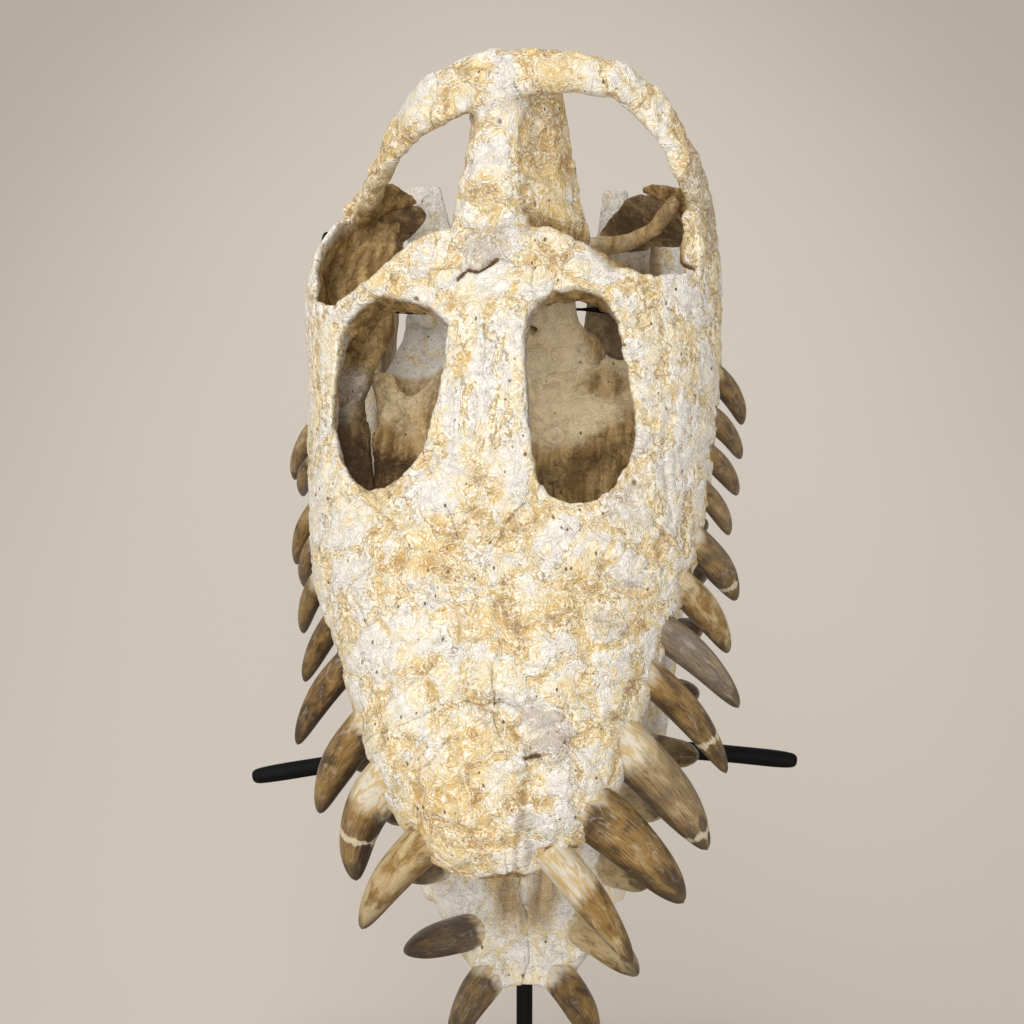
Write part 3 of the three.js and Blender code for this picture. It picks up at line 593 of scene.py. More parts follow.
def wavering(points):
    """Small smooth shifts that make a straight suture wander."""
    broad = np.sin(points @ WAVES / 8.5 + (0.3, 2.1, 4.0))
    narrow = np.sin(points @ WAVES.T / 3.1 + (1.7, 0.4, 5.2))
    return 2.2 * broad + 0.8 * narrow


class Bones:
    """Neighbouring bones as one joined field of distances, and each bone's share of it."""

    def __init__(self, nodes, place, voxel):
        solids = {node: solid_of(node, place) for node in nodes}
        self.place, self.voxel = place, voxel
        self.low, high = span(np.concatenate([points for points, _ in solids.values()]), voxel)
        self.joined = np.full(high - self.low + 1, BAND * voxel, np.float32)
        second = self.joined.copy()
        self.own = {}
        for node, (points, triangles) in solids.items():
            low, high = span(points, voxel)
            field = distance_field(points, triangles, voxel, low, high)
            box = tuple(slice(a, b) for a, b in zip(low - self.low, high - self.low + 1))
            second[box] = np.minimum(second[box], np.maximum(self.joined[box], field))
            self.joined[box] = np.minimum(self.joined[box], field)
            self.own[node] = box, field
        self.shares = {}
        for node, (box, field) in self.own.items():
            others = np.where(field <= self.joined[box], second[box], self.joined[box])
            share = (field - others) / 2
            near = (np.abs(share) < 5) & (np.abs(self.joined[box]) < 2 * voxel)
            places = self.places(box)[near]
            share[near] = self.sampled(share, box, places + wavering(places))
            self.shares[node] = share

    def soften(self):
        self.joined = softened(self.joined, SOFT_ROUNDS)

    def box_round(self, points, reach):
        """The part of the grid within reach of some points."""
        first = np.floor((points.min(0) - reach) / self.voxel).astype(int) - self.low
        last = np.ceil((points.max(0) + reach) / self.voxel).astype(int) - self.low
        limits = self.joined.shape
        return tuple(slice(*np.clip((a, b), 0, n)) for a, b, n in zip(first, last, limits))

    def places(self, box):
        """The middle of each cell in a part of the grid."""
        axes = [(np.arange(s.start, s.stop) + start) * self.voxel for s, start in zip(box, self.low)]
        return np.stack(np.meshgrid(*axes, indexing="ij"), -1).astype(np.float32)

    def bar(self, stations, blend=6.0, carve=False):
        """Joins a round bar to the bones, or carves one out of them."""
        stations = np.array(stations, float)
        box = self.box_round(stations[:, :3], stations[:, 3].max() + blend)
        field = bar_field(self.places(box), stations)
        if carve:
            self.joined[box] = -gently_joined(-self.joined[box], field, blend)
        else:
            self.joined[box] = gently_joined(self.joined[box], field, blend)

    def seat(self, teeth, inside, collar=0.0):
        """Takes away the frame's rough teeth and makes a socket, and a collar, for each fine one."""
        for tooth in teeth:
            box = self.box_round(tooth.ends(), tooth.girth * 1.1 + 6)
            places = self.places(box)
            beyond_root = (places - tooth.root) @ tooth.heading(np.zeros(1))[0] - SOCKET_OVERLAP
            depth = np.minimum(tooth.depth(places), beyond_root)
            room = np.where(inside(places) > 0, -SOCKET_OVERLAP, CLEARANCE)
            field = np.maximum(self.joined[box], depth + room)
            if collar:
                ring = np.minimum(tooth.depth(places, more=collar, end=COLLAR_END), beyond_root)
                field = np.maximum(gently_joined(field, -ring, COLLAR_BLEND), depth - SOCKET_OVERLAP)
            self.joined[box] = field

    def sampled(self, array, box, points):
        """Values of an array on part of the grid at some points."""
        origin = self.low + np.array([s.start for s in box])
        at = np.clip(points / self.voxel - origin, 0, np.array(array.shape[:3]) - 1.001)
        cell = at.astype(int)
        part = at - cell
        total = 0
        for corner in np.ndindex(2, 2, 2):
            weight = np.prod(np.where(corner, part, 1 - part), axis=1)
            total = total + weight * array[tuple((cell + corner).T)]
        return total

    def skin(self, node):
        """A bone's mesh, its points in the bones' own frame and their distances to its sutures."""
        box, _ = self.own[node]
        joined, share = self.joined[box], self.shares[node]
        grid = openvdb.FloatGrid()
        grid.background = BAND * self.voxel
        grid.transform = openvdb.createLinearTransform(voxelSize=self.voxel)
        grid.gridClass = openvdb.GridClass.LEVEL_SET
        first = self.low + np.array([s.start for s in box])
        grid.copyFromArray(np.maximum(joined, share - SUTURE_OVERLAP), ijk=tuple(first.tolist()))
        points, quads = grid.convertToQuads(0.0)
        points = points.astype(float)
        slopes = [self.sampled(slope, box, points) for slope in np.gradient(joined)]
        outward = quads[:, ::-1].astype(np.int64)
        mesh = new_mesh(node + "_skin", self.place.outside(points), outward)
        set_values(mesh, "place", points)
        set_values(mesh, "lift", unit(np.stack(slopes, 1)) @ self.place.turn.T)
        return mesh, points, -self.sampled(share, box, points)


# ---- Colours of the bones, with painted shade, by place ----


def spots(points, rows):
    """The strongest of several soft round spots: (x, y, half-width, half-length, strength)."""
    found = np.zeros(len(points))
    for x, y, wide, long, strength in rows:
        away = np.hypot((points[:, 0] - x) / wide, (points[:, 1] - y) / long)
        found = np.maximum(found, strength * smooth(1.0, 0.35, away))
    return found


OCHRE_SPOTS = [
    (-20, 20, 32, 34, 0.9), (-8, 50, 22, 14, 0.5), (-40, 78, 20, 22, 0.5), (16, 100, 16, 22, 0.4),
    (44, 112, 20, 26, 0.5), (-30, 140, 26, 18, 0.5), (30, 330, 20, 40, 0.7), (-60, 345, 30, 20, 0.6),
    (98, 330, 16, 50, 0.8),
]
GREY_SPOTS = [
    (2, 66, 14, 24, 0.7), (16, 20, 6, 28, 0.8), (0, 285, 18, 14, 0.9), (60, 180, 22, 60, 0.6),
    (56, 120, 20, 30, 0.5), (98, 322, 12, 40, 0.8), (22, 56, 32, 24, 0.66),
]


# Old grooves in the roof: half-width, depth, then places along each.
GROOVES = [
    (2.2, 0.55, (13, -2), (16, 19), (18, 42)), (1.2, 1.0, (16, 45), (23, 47)),
    (1.8, 0.5, (19, 45), (15, 55), (6, 64), (-3, 71)),
    (1.0, 0.6, (-33, 44), (-25, 44), (-18, 51), (-3, 54)),
    (0.6, 0.4, (-9, 24), (0, 28), (8, 34), (14, 39)),
    (0.6, 0.4, (31, 56), (38, 51), (48, 43), (50, 35)),
    (0.5, 0.45, (46, 72), (53, 77), (59, 82), (69, 90)),
    (0.5, 0.4, (-13, 115), (-13, 103), (-14, 88)), (0.8, 0.5, (-31, 112), (-23, 116), (-15, 116)),
    (0.6, 0.5, (24, 118), (29, 123), (36, 127)),
    (0.7, 0.5, (-70, 128), (-66, 133), (-57, 134), (-43, 139)),
    (0.3, 0.45, (-66, 129), (-58, 120), (-54, 112)),
    (0.4, 0.5, (-69, 176), (-63, 168), (-53, 162), (-43, 150)),
    (1.6, 1.0, (-12, 270), (-7, 275), (-2, 274), (6, 277)), (0.5, 0.4, (77, 140), (81, 160), (78, 183)),
]


def groove_depth(points):
    """How deep the old grooves are at some points of the roof, from 0 to 1."""
    moved = points + 0.7 * wavering(points)
    moved[:, 2] = 0
    found = np.zeros(len(points))
    for half_width, depth, *places in GROOVES:
        stations = np.array([(x, y, 0, half_width) for x, y in places], float)
        found = np.maximum(found, depth * smooth(1.0, -half_width, bar_field(moved, stations)))
    return found


def paint(mesh, loose=0.6, ochre=0.0, **values):
    """Stores one number or one array of numbers for each named value."""
    for name, value in {"loose": loose, "ochre": ochre, **values}.items():
        set_values(mesh, name, np.broadcast_to(value, len(mesh.vertices)))


def paint_cranium(mesh, points, seam, depth):
    x, y, z = points.T
    bare = 1 - 0.9 * smooth(296, 310, y) * smooth(20, 40, z)
    inner = smooth(1.5, 5.0, depth) * smooth(-24, -16, z) * bare
    flank = smooth(16, 22, x) * smooth(50, 46, x) * smooth(286, 296, y)
    orbits = smooth(180, 192, y) * smooth(262, 250, y)
    paint(
        mesh,
        ochre=np.maximum(spots(points, OCHRE_SPOTS), 0.6 * flank),
        grey=np.maximum(spots(points, GREY_SPOTS), 0.7 * orbits * inner),
        inner=inner * (1 - 0.8 * orbits * smooth(0, 14, z)),
        # More gloom in the orbits: painted shade low in the orbits, where the inner bone shows.
        gloom=0.5 + 0.35 * orbits,
        lace=1 - 0.4 * inner,
        fibre=0.9 * smooth(168, 196, y) * smooth(36, 26, np.abs(x)) * smooth(250, 240, y)
        + 0.5 * smooth(50, 70, np.abs(x)) * smooth(120, 180, y),
        cracked=1 - inner,
        loose=1.0,
        seam=seam,
        mark=groove_depth(points) * smooth(3.0, 1.0, depth),
    )


def paint_palate(mesh, points, seam):
    x, y, _ = points.T
    left = smooth(236, 206, y + 0.5 * (x + 55))
    right = smooth(240, 204, y - 0.25 * (x - 36)) * smooth(10, 22, np.hypot(x - 29, y - 234) * 0.8)
    patch = smooth(14, 4, np.hypot((x - 46) * 0.8, y - 248))
    # gloom paints shade on the palate: darker towards its front, deep under the roof, and in a patch on
    # the right.
    gloom = np.where(x < 0, 0.95 * left - 0.1, 0.95 * right + 0.45 * patch - 0.35)
    paint(mesh, seam=seam, ochre=0.2, gloom=gloom, inner=1.0, grey=0.0, lace=0.6, fibre=0.2,
          cracked=0.2)


# ---- Materials ----

WHITE = (0.85, 0.81, 0.735, 1)
CREAM = (0.89, 0.77, 0.53, 1)
YELLOW = (0.85, 0.65, 0.32, 1)
OCHRE = (0.62, 0.39, 0.13, 1)
BRIGHT = (0.97, 0.94, 0.87, 1)
GREY = (0.47, 0.40, 0.32, 1)
THREAD = (0.55, 0.34, 0.09, 1)
EDGE = (0.23, 0.13, 0.05, 1)
LOW_GROUND_BROWN = (0.31, 0.235, 0.165, 1)
PIT = (0.22, 0.12, 0.04, 1)
UMBER = (0.13, 0.075, 0.03, 1)
INNER_PALE = (0.92, 0.74, 0.47, 1)
INNER_LIGHT = (0.58, 0.39, 0.16, 1)
INNER_BROWN = (0.25, 0.14, 0.04, 1)
SHADE_DARK = (0.085, 0.04, 0.01, 1)
TOOTH_TAN = (0.56, 0.42, 0.22, 1)
TOOTH_BROWN = (0.29, 0.165, 0.04, 1)
TOOTH_DARK = (0.075, 0.036, 0.009, 1)
TOOTH_GREY = (0.21, 0.175, 0.14, 1)
STREAK_PALE = (0.58, 0.46, 0.28, 1)
STREAK_DARK = (0.045, 0.02, 0.005, 1)
MILKY = (0.58, 0.52, 0.43, 1)
TOOTH_INNER_SHADE = (0.030, 0.013, 0.004, 1)
TOOTH_TIP = (0.060, 0.040, 0.024, 1)
BAND_PALE = (0.78, 0.69, 0.50, 1)
ROOT_PALE = (0.74, 0.68, 0.56, 1)
ROOT_WARM = (0.62, 0.44, 0.20, 1)
ROD_BLACK = (0.002, 0.002, 0.002, 1)
ROD_WORN = (0.007, 0.006, 0.006, 1)
FLOOR_LIT = (0.60, 0.545, 0.482, 1)
FLOOR_DIM = (0.42, 0.38, 0.335, 1)
SKY = (0.98, 0.96, 0.93, 1)


def new_material(name):
    material = bpy.data.materials.new(name)
    material.use_nodes = True
    return material, Graph(material.node_tree)


def surface(g, colour, **values):
    """Gives a material its colour and its plain values."""
    shader = g.tree.nodes["Principled BSDF"]
    g.tree.links.new(colour, shader.inputs["Base Color"])
    for name, value in values.items():
        shader.inputs[name.replace("_", " ")].default_value = value


def bumped(g, height, strength, distance):
    bump = g.node("ShaderNodeBump", {"Height": height, "Strength": strength, "Distance": distance})
    g.tree.links.new(bump.outputs[0], g.tree.nodes["Principled BSDF"].inputs["Normal"])


def bone_material(name, warm, seams, lines=1.0):
    """Pale plates in warmer bone, all of it threaded with fine lines; and browner bone inside, with
    painted shade where the relief lies low, in the deepest grooves and deep in the skull.
    """
    material, g = new_material(name)
    both, add = g.both, g.add
    place, fibre = g.painted("place", "Vector"), g.painted("fibre")
    flow = wandering(g, place, 13, 4)
    long = g.stretched(flow, (1, 0.28, 1))
    fine = g.noise(place, 2.4, detail=3, rough=0.7, twist=0.8)
    broad = g.blend(fibre, g.noise(flow, 24, detail=3, rough=0.55), g.noise(long, 12, detail=2))
    middling = g.blend(
        fibre, g.noise(flow, 7, detail=4, rough=0.65, twist=0.8), g.noise(long, 4, detail=3, rough=0.6))
    plate = plate_depth(g, place, fibre)
    warmth = g.math("MULTIPLY_ADD", g.painted("ochre"), 0.65, warm)
    warmth = add(add(add(warmth, broad, 2.3), middling, 1.7), fine, 0.9)
    warmth = g.math("SUBTRACT", warmth, g.ramp(plate, -1.2, 1.2, -0.24, 0.24))
    colour = g.mix(g.ramp(warmth, 0.05, 0.34), WHITE, CREAM)
    colour = g.mix(g.ramp(warmth, 0.38, 0.66), colour, YELLOW)
    colour = g.mix(g.ramp(warmth, 0.72, 1.15), colour, OCHRE)
    grey = add(add(add(g.painted("grey"), broad, -1.6), middling, 1.8), fine, 1.4)
    colour = g.cover(colour, GREY, g.ramp(grey, 0.40, 0.85), 0.7)

    patch = g.noise(place, 15, detail=2)
    lacy = both(g.ramp(warmth, 0.1, 0.6, 0.25, 1.0), g.ramp(patch, 0.36, 0.54, 0.4, 1.0))
    thread = waves(g, g.noise(flow, 7.0, detail=2.2, rough=0.6, twist=1.4), 0.15)
    colour = g.cover(colour, THREAD, both(g.ramp(thread, 0.40, 0.08), lacy), 0.65 * lines)
    colour = g.cover(colour, BRIGHT, both(g.ramp(thread, 0.66, 0.95), lacy), 0.8 * lines)
    near = both(g.ramp(g.math("ABSOLUTE", plate), 3.6, 0.8), g.ramp(patch, 0.64, 0.48))
    growth = waves(g, add(plate, fine, 3.0), 2.2)
    colour = g.cover(colour, EDGE, both(g.ramp(growth, 0.38, 0.10), near), 0.65 * lines)
    colour = g.cover(colour, BRIGHT, both(g.ramp(growth, 0.66, 0.95), near), 0.6)
    # Grey-brown in patches where the ground between the plates lies low.
    low_ground = both(g.ramp(plate, -0.5, -2.0), g.ramp(add(broad, fine, 0.9), 0.55, 0.70))
    colour = g.cover(colour, LOW_GROUND_BROWN, low_ground, 0.7)

    inner = g.mix(g.ramp(fibres(g, place, 5), 0.36, 0.64), INNER_BROWN, INNER_LIGHT)
    # gloom takes the inside bone from pale, through its browns, to the near-black of painted shade,
    # which the paint functions put deep in the skull.
    gloom = add(add(add(g.painted("gloom"), broad, 1.3), middling, 0.9), fine, 0.7)
    inner = g.mix(g.ramp(gloom, 0.25, -0.45), inner, INNER_PALE)
    inner = g.mix(g.ramp(gloom, 0.35, 0.95), inner, SHADE_DARK)
    colour = g.mix(g.painted("inner"), colour, inner)

    # Painted shade: browner where the relief lies low.
    colour = g.cover(colour, THREAD, g.ramp(g.painted("height"), -0.5, -2.0), 0.55)
    mark = both(g.ramp(fine, 0.36, 0.60), g.ramp(g.painted("mark"), 0.1, 0.8))
    colour = g.cover(colour, EDGE, mark, 0.8)
    # Painted shade: near-black at the bottom of the deepest grooves.
    groove_shade = both(g.ramp(g.painted("mark"), 0.6, 0.85), g.ramp(fine, 0.25, 0.45))
    colour = g.cover(colour, SHADE_DARK, groove_shade, 0.9)
    crack = both(g.ramp(split_distance(g, place), 0.42, 0.08), g.painted("cracked"))
    colour = g.cover(colour, EDGE, both(crack, g.ramp(fine, 0.4, 0.6)), 0.75)
    seam = g.ramp(add(g.painted("seam"), fine, 1.0), 0.5, 0.15)
    colour = g.cover(colour, EDGE, both(seam, g.ramp(broad, 0.5, 0.62)), seams)
    halo = g.math("SUBTRACT", pores(g, place, 9.0, 0.27), pores(g, place, 9.0, 0.19))
    outer = g.math("SUBTRACT", 1.0, g.painted("inner"))
    colour = g.cover(colour, BRIGHT, both(halo, outer), 0.7)
    colour = g.cover(colour, PIT, pores(g, place, 9.0, 0.19), 0.75)
    colour = g.cover(colour, UMBER, pores(g, place, 4.6, 0.17, share=0.53), 0.9)
    surface(g, colour, Roughness=0.6)
    bumped(g, add(both(thread, 0.5), fine, 1.4), 0.9, 0.0008)
    return material


def tooth_material():
    """Streaky brown enamel, darker towards the tip, with painted shade on the inner side and a pale
    root and band.
    """
    material, g = new_material("tooth_enamel")
    grain, along = g.painted("grain", "Vector"), g.painted("along")
    around = g.node("ShaderNodeSeparateXYZ", {"Vector": grain}).outputs["X"]
    cloud = g.noise(grain, 0.9, detail=4, rough=0.6, twist=0.5)
    streaks = g.noise(g.stretched(grain, (1, 1, 0.13)), 0.06, detail=2, rough=0.6, twist=0.2)
    swirl = g.noise(g.stretched(grain, (1, 1, 0.5)), 0.42, detail=3, rough=0.6, twist=1.2)
    tone = g.add(g.painted("tone"), cloud, 2.4)
    colour = g.mix(g.ramp(tone, -0.1, 0.45), TOOTH_TAN, TOOTH_BROWN)
    colour = g.mix(g.ramp(tone, 0.45, 1.1), colour, TOOTH_DARK)
    greyer = g.both(g.painted("greyness"), g.ramp(cloud, 0.3, 0.6, 0.6, 1.0))
    colour = g.mix(greyer, colour, TOOTH_GREY)
    colour = g.cover(colour, STREAK_PALE, g.ramp(streaks, 0.54, 0.70), 0.35)
    colour = g.cover(colour, STREAK_DARK, g.ramp(streaks, 0.46, 0.32), 0.5)
    milky = g.ramp(g.noise(grain, 0.5, detail=4, rough=0.65, twist=1.2), 0.54, 0.72)
    colour = g.cover(colour, MILKY, milky, 0.45)
    # Painted shade on each tooth's inner side, as strong as its shade value.
    inside = g.ramp(g.add(around, swirl, 0.9), 0.1, -0.75)
    colour = g.cover(colour, TOOTH_INNER_SHADE, inside, g.painted("shade"))
    colour = g.cover(colour, TOOTH_TIP, g.ramp(g.add(along, cloud, 0.8), 0.66, 0.95), 0.7)
    apart = g.math("ABSOLUTE", g.math("SUBTRACT", along, g.painted("band")))
    colour = g.cover(colour, BAND_PALE, g.ramp(g.add(apart, cloud, 0.16), 0.035, 0.012), 0.75)
    worn = g.add(g.math("SUBTRACT", along, g.painted("root")), cloud, 0.3)
    root = g.mix(g.ramp(swirl, 0.42, 0.62), ROOT_PALE, ROOT_WARM)
    colour = g.cover(colour, root, g.ramp(worn, 0.06, -0.09), 0.9)
    surface(g, colour, Roughness=0.34, Specular_IOR_Level=0.35)
    bumped(g, streaks, 0.7, 0.0009)
    return material


def metal_material():
    material, g = new_material("black_rod")
    place = g.node("ShaderNodeTexCoord", {}).outputs["Object"]
    speckle = g.noise(place, 0.0025, detail=3)
    surface(g, g.mix(speckle, ROD_BLACK, ROD_WORN), Roughness=0.55, Specular_IOR_Level=0.1)
    bumped(g, speckle, 0.2, 0.0003)
    return material


BONE = bone_material("skull_bone", warm=0.41, seams=0.25)
INNER_BONE = bone_material("inner_bone", warm=0.30, seams=0.0, lines=0.5)
JAW_BONE = bone_material("jaw_bone", warm=0.28, seams=0.2, lines=0.3)
TOOTH = tooth_material()
METAL = metal_material()

# ---- Building ----


def cover_with(piece, material):
    piece.data.materials.clear()
    piece.data.materials.append(material)


def dress(piece, material, slot, *nodes):
    """Gives a piece its material and its body, and hides the nodes it stands for; its slot is not used.
    """
    cover_with(piece, material)
    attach(piece, "root")
    if nodes:
        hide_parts(*nodes)


def pairs(*bones):
    return [f"{bone}_{side}" for bone in bones for side in ("left", "right")]


CRANIUM = ["frontal", *pairs("premaxilla", "maxilla", "jugal", "postorbital", "squamosal"), "parietal"]
INNER = ["palate", "braincase", *pairs("pterygoid", "quadrate")]
SKULL_VOXEL = 1.1
INNER_VOXEL = 1.3
JAW_VOXEL = 1.4
PALATE_END = 262
FORAMEN = [(14, 264, 24, 2.4), (14, 276, 16, 2.4)]
# The round bar behind each orbit, by its distance from the middle, and creases (x, y, z, radius).
ORBIT_BAR = [(16, 288, 69), (38, 284, 64), (57, 277, 54), (73, 268, 42)]
BAR_RADIUS = 6.0
CREASES = [
    [(20, 292, 76, 2.5), (22, 315, 80, 3.5), (20, 338, 86, 3)], [(24, 338, 84, 2.5), (24, 339, 78, 2)],
]


def build_cranium():
    bones = Bones(CRANIUM, SKULL, SKULL_VOXEL)
    for side in (-1, 1):
        bones.bar([(2.5 + side * x, y, z, BAR_RADIUS) for x, y, z in ORBIT_BAR])
    bones.soften()
    for stations in CREASES:
        bones.bar(stations, blend=3.0, carve=True)
    bones.seat(UPPER_TEETH["left"] + UPPER_TEETH["right"], depth_in_roof)
    for node in CRANIUM:
        mesh, points, seam = bones.skin(node)
        paint_cranium(mesh, points, seam, depth_in_dome(points))
        mesh.vertices.foreach_set("co", SKULL.outside(rounded(points)).astype(np.float32).ravel())
        dress(with_relief(link(mesh)), BONE, "bone", node)


def build_inner_bones():
    bones = Bones(INNER, SKULL, INNER_VOXEL)
    bones.soften()
    bones.bar(FORAMEN, blend=1.5, carve=True)
    for node in INNER:
        mesh, points, seam = bones.skin(node)
        if node == "palate":
            paint_palate(mesh, points, seam)
        elif node == "braincase":
            bars = smooth(30, 50, np.abs(points[:, 0]))
            rear = smooth(288, 312, points[:, 1]) * (1 - bars)
            paint(mesh, seam=seam, ochre=0.3 * rear, gloom=0.7 * bars - 0.5, inner=0.9 - 0.65 * rear,
                  grey=0.0, lace=0.1 + 0.7 * rear, fibre=0.1 + 0.4 * rear, cracked=0.2)
        elif node.startswith("pterygoid"):
            front = smooth(PALATE_END + 4, PALATE_END - 1, points[:, 1])
            right = node.endswith("right") * smooth(345, 325, points[:, 1])
            paint(mesh, seam=seam, ochre=-0.4, gloom=0.8 * right - 0.1,
                  inner=np.maximum(front, 0.9 * right), grey=0.35, lace=0.1, fibre=0.2, cracked=0.0)
        else:
            paint(mesh, seam=seam, gloom=0.7, inner=0.95, grey=0.3, lace=0.3, fibre=0.2, cracked=0.2)
        dress(with_relief(link(mesh)), INNER_BONE, "inner_bone", node)


def build_jaw():
    bones = Bones(pairs("mandible"), JAW, JAW_VOXEL)
    bones.soften()
    teeth = LOWER_TEETH["left"] + LOWER_TEETH["right"]
    bones.seat(teeth, lambda places: JAW_TOP - places[..., 2], COLLAR)
    for node in pairs("mandible"):
        mesh, points, seam = bones.skin(node)
        x, y, _ = points.T
        # Painted shade on the jaw: a V of shadow down the middle behind the chin, and the inward faces
        # of its back under the skull; gloom darkens towards the back.
        beside_valley = np.abs(np.abs(x) - 0.3 * (y - 8))
        valley_shadow = 0.85 * smooth(13, 3, beside_valley) * smooth(14, 34, y) * smooth(150, 100, y)
        inwards = -np.sign(x) * vectors_of(mesh.vertex_normals, "vector")[:, 0]
        under_skull_shade = 0.9 * smooth(-0.2, 0.6, inwards) * smooth(165, 230, y)
        paint(mesh, seam=seam, gloom=0.25 + 0.35 * smooth(170, 215, y),
              inner=np.maximum(valley_shadow, under_skull_shade), grey=0.35, lace=0.5, fibre=0.4, cracked=0.2)
        dress(with_relief(link(mesh)), JAW_BONE, "jaw_bone", node)


# How dark and how grey the first teeth of a row are, how far their pale roots reach and how much
# painted shade darkens their inner sides.
ODD_TEETH = {
    "upper_right": [
        (0.36, 0.0, 0.42, 0.35), (0.72, 0.1, 0.05, 0.7), (0.45, 0.45, 0.20, 0.6), (0.65, 0.1, 0.1, 0.7),
        (0.45, 0.9, 0.0, 0.4), (0.25, 0.0, 0.1, 0.6), (0.75, 0.3, 0.1, 0.8)],
    "upper_left": [(0.10, 0.0, 0.0, 0.45), (0.70, 0.15, 0.30, 0.95), (0.65, 0.1, 0.1, 0.95)],
    "lower_left": [(0.70, 0.4, 0.26, 0.3), (0.95, 0.6, 0.20, 0.4)],
    "lower_right": [(0.70, 0.1, 0.26, 0.4), (0, 0, 0.2, 0), (0, 0, 0.2, 0), (0, 0, 0.2, 0)],
}
# Where a pale band crosses a tooth.
BANDS = {"upper_right": {2: 0.86, 3: 0.70, 6: 0.74}, "upper_left": {1: 0.58}}
USUAL_ROOT = {"upper": (0.0, 0.2), "lower": (0.22, 0.36)}
NO_BAND = -1.0
# Painted shade on the inner sides of each row's other teeth.
USUAL_SHADE = {"upper_left": 0.9, "upper_right": 0.7, "lower_left": 0.3, "lower_right": 0.1}


def tooth_skin(tooth, seed):
    """Points, faces, place along and grain of one tooth."""
    t = np.linspace(0, 1, TOOTH_STEPS + 1)[:-1]
    angle = np.linspace(0, 2 * math.pi, TOOTH_SIDES, endpoint=False)
    heading = tooth.heading(t)
    up = unit(np.cross(heading, tooth.outward))
    side = unit(np.cross(up, heading))
    ridges = 1 + 0.012 * np.sin(19 * angle + seed * 40) + 0.008 * np.sin(31 * angle + seed * 70)
    lumps = 0.03 * np.sin(2 * angle + seed * 9)[None] * np.sin(3 * t * math.pi + seed * 20)[:, None]
    radius = tooth.radius(t)[:, None] * (ridges[None] + lumps)
    ring = side[:, None] * np.cos(angle)[None, :, None] + up[:, None] * np.sin(angle)[None, :, None]
    rings = tooth.middle(t)[:, None] + ring * radius[..., None]
    points = np.concatenate([rings.reshape(-1, 3), tooth.root[None], tooth.tip[None]])
    steps, sides = len(t), TOOTH_SIDES
    index = np.arange(steps * sides).reshape(steps, sides)
    a, b = index[:-1].ravel(), np.roll(index, -1, 1)[:-1].ravel()
    c, d = np.roll(index, -1, 1)[1:].ravel(), index[1:].ravel()
    walls = np.concatenate([np.stack([a, b, c], 1), np.stack([a, c, d], 1)])
    first, last = index[0], index[-1]
    hub, peak = steps * sides, steps * sides + 1
    root_cap = np.stack([np.full(sides, hub), np.roll(first, -1), first], 1)
    tip_cap = np.stack([np.full(sides, peak), last, np.roll(last, -1)], 1)
    faces = np.concatenate([walls, root_cap, tip_cap])
    along = np.concatenate([np.repeat(t, sides), [0, 1]])
    turn = np.stack([np.cos(angle), np.sin(angle)], 1)
    grain = np.concatenate([np.tile(turn, (steps, 1)), [[0, 0], [0, 0]]])
    grain = np.column_stack([grain, along * 4 + seed * 50])
    return points, faces, along, grain


def build_teeth(row, teeth, place, dice):
    parts = [tooth_skin(tooth, dice.random()) for tooth in teeth]
    starts = np.cumsum([0] + [len(part[0]) for part in parts[:-1]])
    faces = np.concatenate([part[1] + start for part, start in zip(parts, starts)])
    points, along, grain = (np.concatenate([part[i] for part in parts]) for i in (0, 2, 3))
    looks = []
    odd, bands = ODD_TEETH[row], BANDS.get(row, {})
    for i, part in enumerate(parts):
        usual = (dice.uniform(0.4, 0.85), dice.uniform(0, 0.3), dice.uniform(*USUAL_ROOT[row[:5]]),
                 USUAL_SHADE[row])
        look = (*(odd[i] if i < len(odd) else usual), bands.get(i, NO_BAND))
        looks.append(np.tile(look, (len(part[0]), 1)))
    tone, greyness, root, shade, band = np.concatenate(looks).T
    mesh = new_mesh(f"{row}_teeth", place.outside(points), faces)
    named = {"along": along, "grain": grain, "tone": tone, "greyness": greyness, "root": root,
             "shade": shade, "band": band}
    for name, values in named.items():
        set_values(mesh, name, values)
    dress(link(mesh), TOOTH, "tooth")


WELD_REACH = 1e-5
BASE_EDGE = 0.0012


def build_stand():
    """Rounds the stand's rods and eases its base's edges."""
    for node in ("stand_post", "stand_jaw_rod", "stand_arm", "stand_cradle"):
        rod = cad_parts[node]
        rod.modifiers.new("weld", "WELD").merge_threshold = WELD_REACH
        roundness = rod.modifiers.new("roundness", "SUBSURF")
        roundness.levels = roundness.render_levels = 2
        cover_with(rod, METAL)
        rod.data.shade_smooth()
    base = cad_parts["stand_base"]
    base.modifiers.new("weld", "WELD").merge_threshold = WELD_REACH
    bevel = base.modifiers.new("edge", "BEVEL")
    bevel.width, bevel.segments = BASE_EDGE, 3
    cover_with(base, METAL)


# ---- Studio ----

FLOOR_REACH = 9.0
LENS = 99.35
SENSOR = 36
CAMERA_PITCH = 25
CAMERA_ACROSS = 0.00764
CAMERA_RISE = 0.16538
CAMERA_AWAY = 1.270


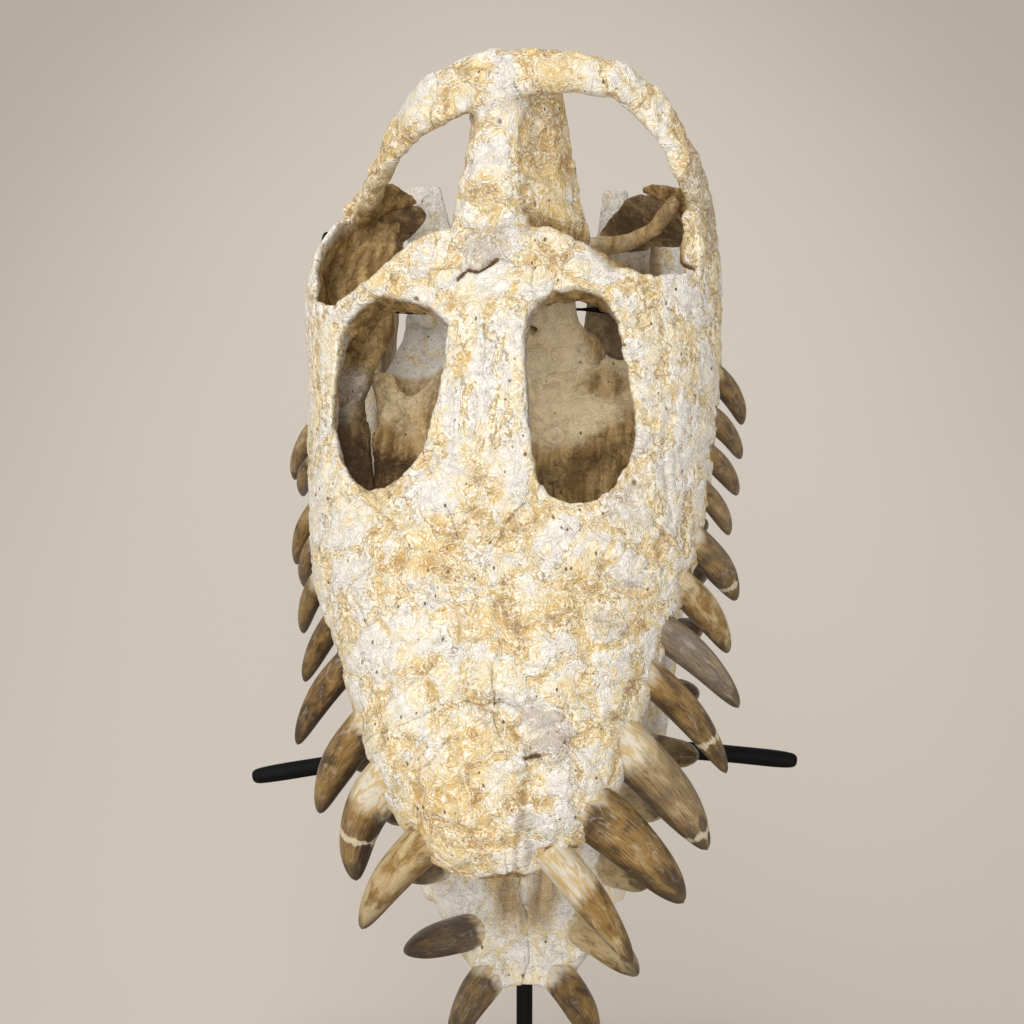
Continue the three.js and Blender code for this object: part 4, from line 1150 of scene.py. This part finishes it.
def build_floor():
    """A pale floor with a painted falloff of light, a little darker away from the model."""
    material, g = new_material("studio_floor")
    place = g.node("ShaderNodeTexCoord", {}).outputs["Object"]
    # Painted falloff of light: the floor darkens away from the model.
    away = g.vector("LENGTH", g.vector("MULTIPLY_ADD", place, (2, 0.5, 0), (0, -0.45, 0)))
    tone = g.math("MULTIPLY_ADD", g.noise(place, 0.5, detail=2), 0.1, away)
    surface(g, g.mix(g.ramp(tone, 0.45, 1.6), FLOOR_LIT, FLOOR_DIM), Roughness=0.9)
    corners = FLOOR_REACH * np.array([[-1, -1, 0], [1, -1, 0], [1, 1, 0], [-1, 1, 0]])
    floor = link(new_mesh("floor", corners, np.array([[0, 1, 2, 3]])))
    floor.data.materials.append(material)


def build_sun(name, towards, strength, spread, colour=(1, 1, 1)):
    """A broad soft light from far away, in the direction of towards."""
    data = bpy.data.lights.new(name, "SUN")
    data.energy, data.angle, data.color = strength, math.radians(spread), colour
    link(data).rotation_euler = Vector(towards).to_track_quat("Z", "Y").to_euler()


def build_studio():
    build_floor()
    build_sun("key", (-0.6, -0.65, 1.0), 1.8, 70, (1, 0.99, 0.97))
    build_sun("front", (0.1, -1.0, 0.2), 1.2, 60)
    world = bpy.data.worlds.new("studio")
    world.use_nodes = True
    sky = world.node_tree.nodes["Background"]
    sky.inputs["Color"].default_value = SKY
    sky.inputs["Strength"].default_value = 0.55
    bpy.context.scene.world = world
    bpy.context.scene.view_settings.view_transform = "Standard"


def build_camera():
    """Looks down at the snout from in front of it."""
    data = bpy.data.cameras.new("camera")
    data.lens, data.sensor_width = LENS, SENSOR
    camera = link(data)
    pitch = math.radians(CAMERA_PITCH)
    towards = Vector((0, -math.cos(pitch), math.sin(pitch)))
    up = Vector((0, math.sin(pitch), math.cos(pitch)))
    snout = Vector(SKULL.origin) / METRE
    across = Vector((CAMERA_ACROSS, 0, 0))
    camera.location = snout + across + up * CAMERA_RISE + towards * CAMERA_AWAY
    camera.rotation_euler = (-towards).to_track_quat("-Z", "Y").to_euler()
    bpy.context.scene.camera = camera


build_camera()
build_studio()
build_cranium()
build_inner_bones()
build_jaw()
dice = np.random.default_rng(7)
for side in ("left", "right"):
    build_teeth(f"upper_{side}", UPPER_TEETH[side], SKULL, dice)
    build_teeth(f"lower_{side}", LOWER_TEETH[side], JAW, dice)
build_stand()
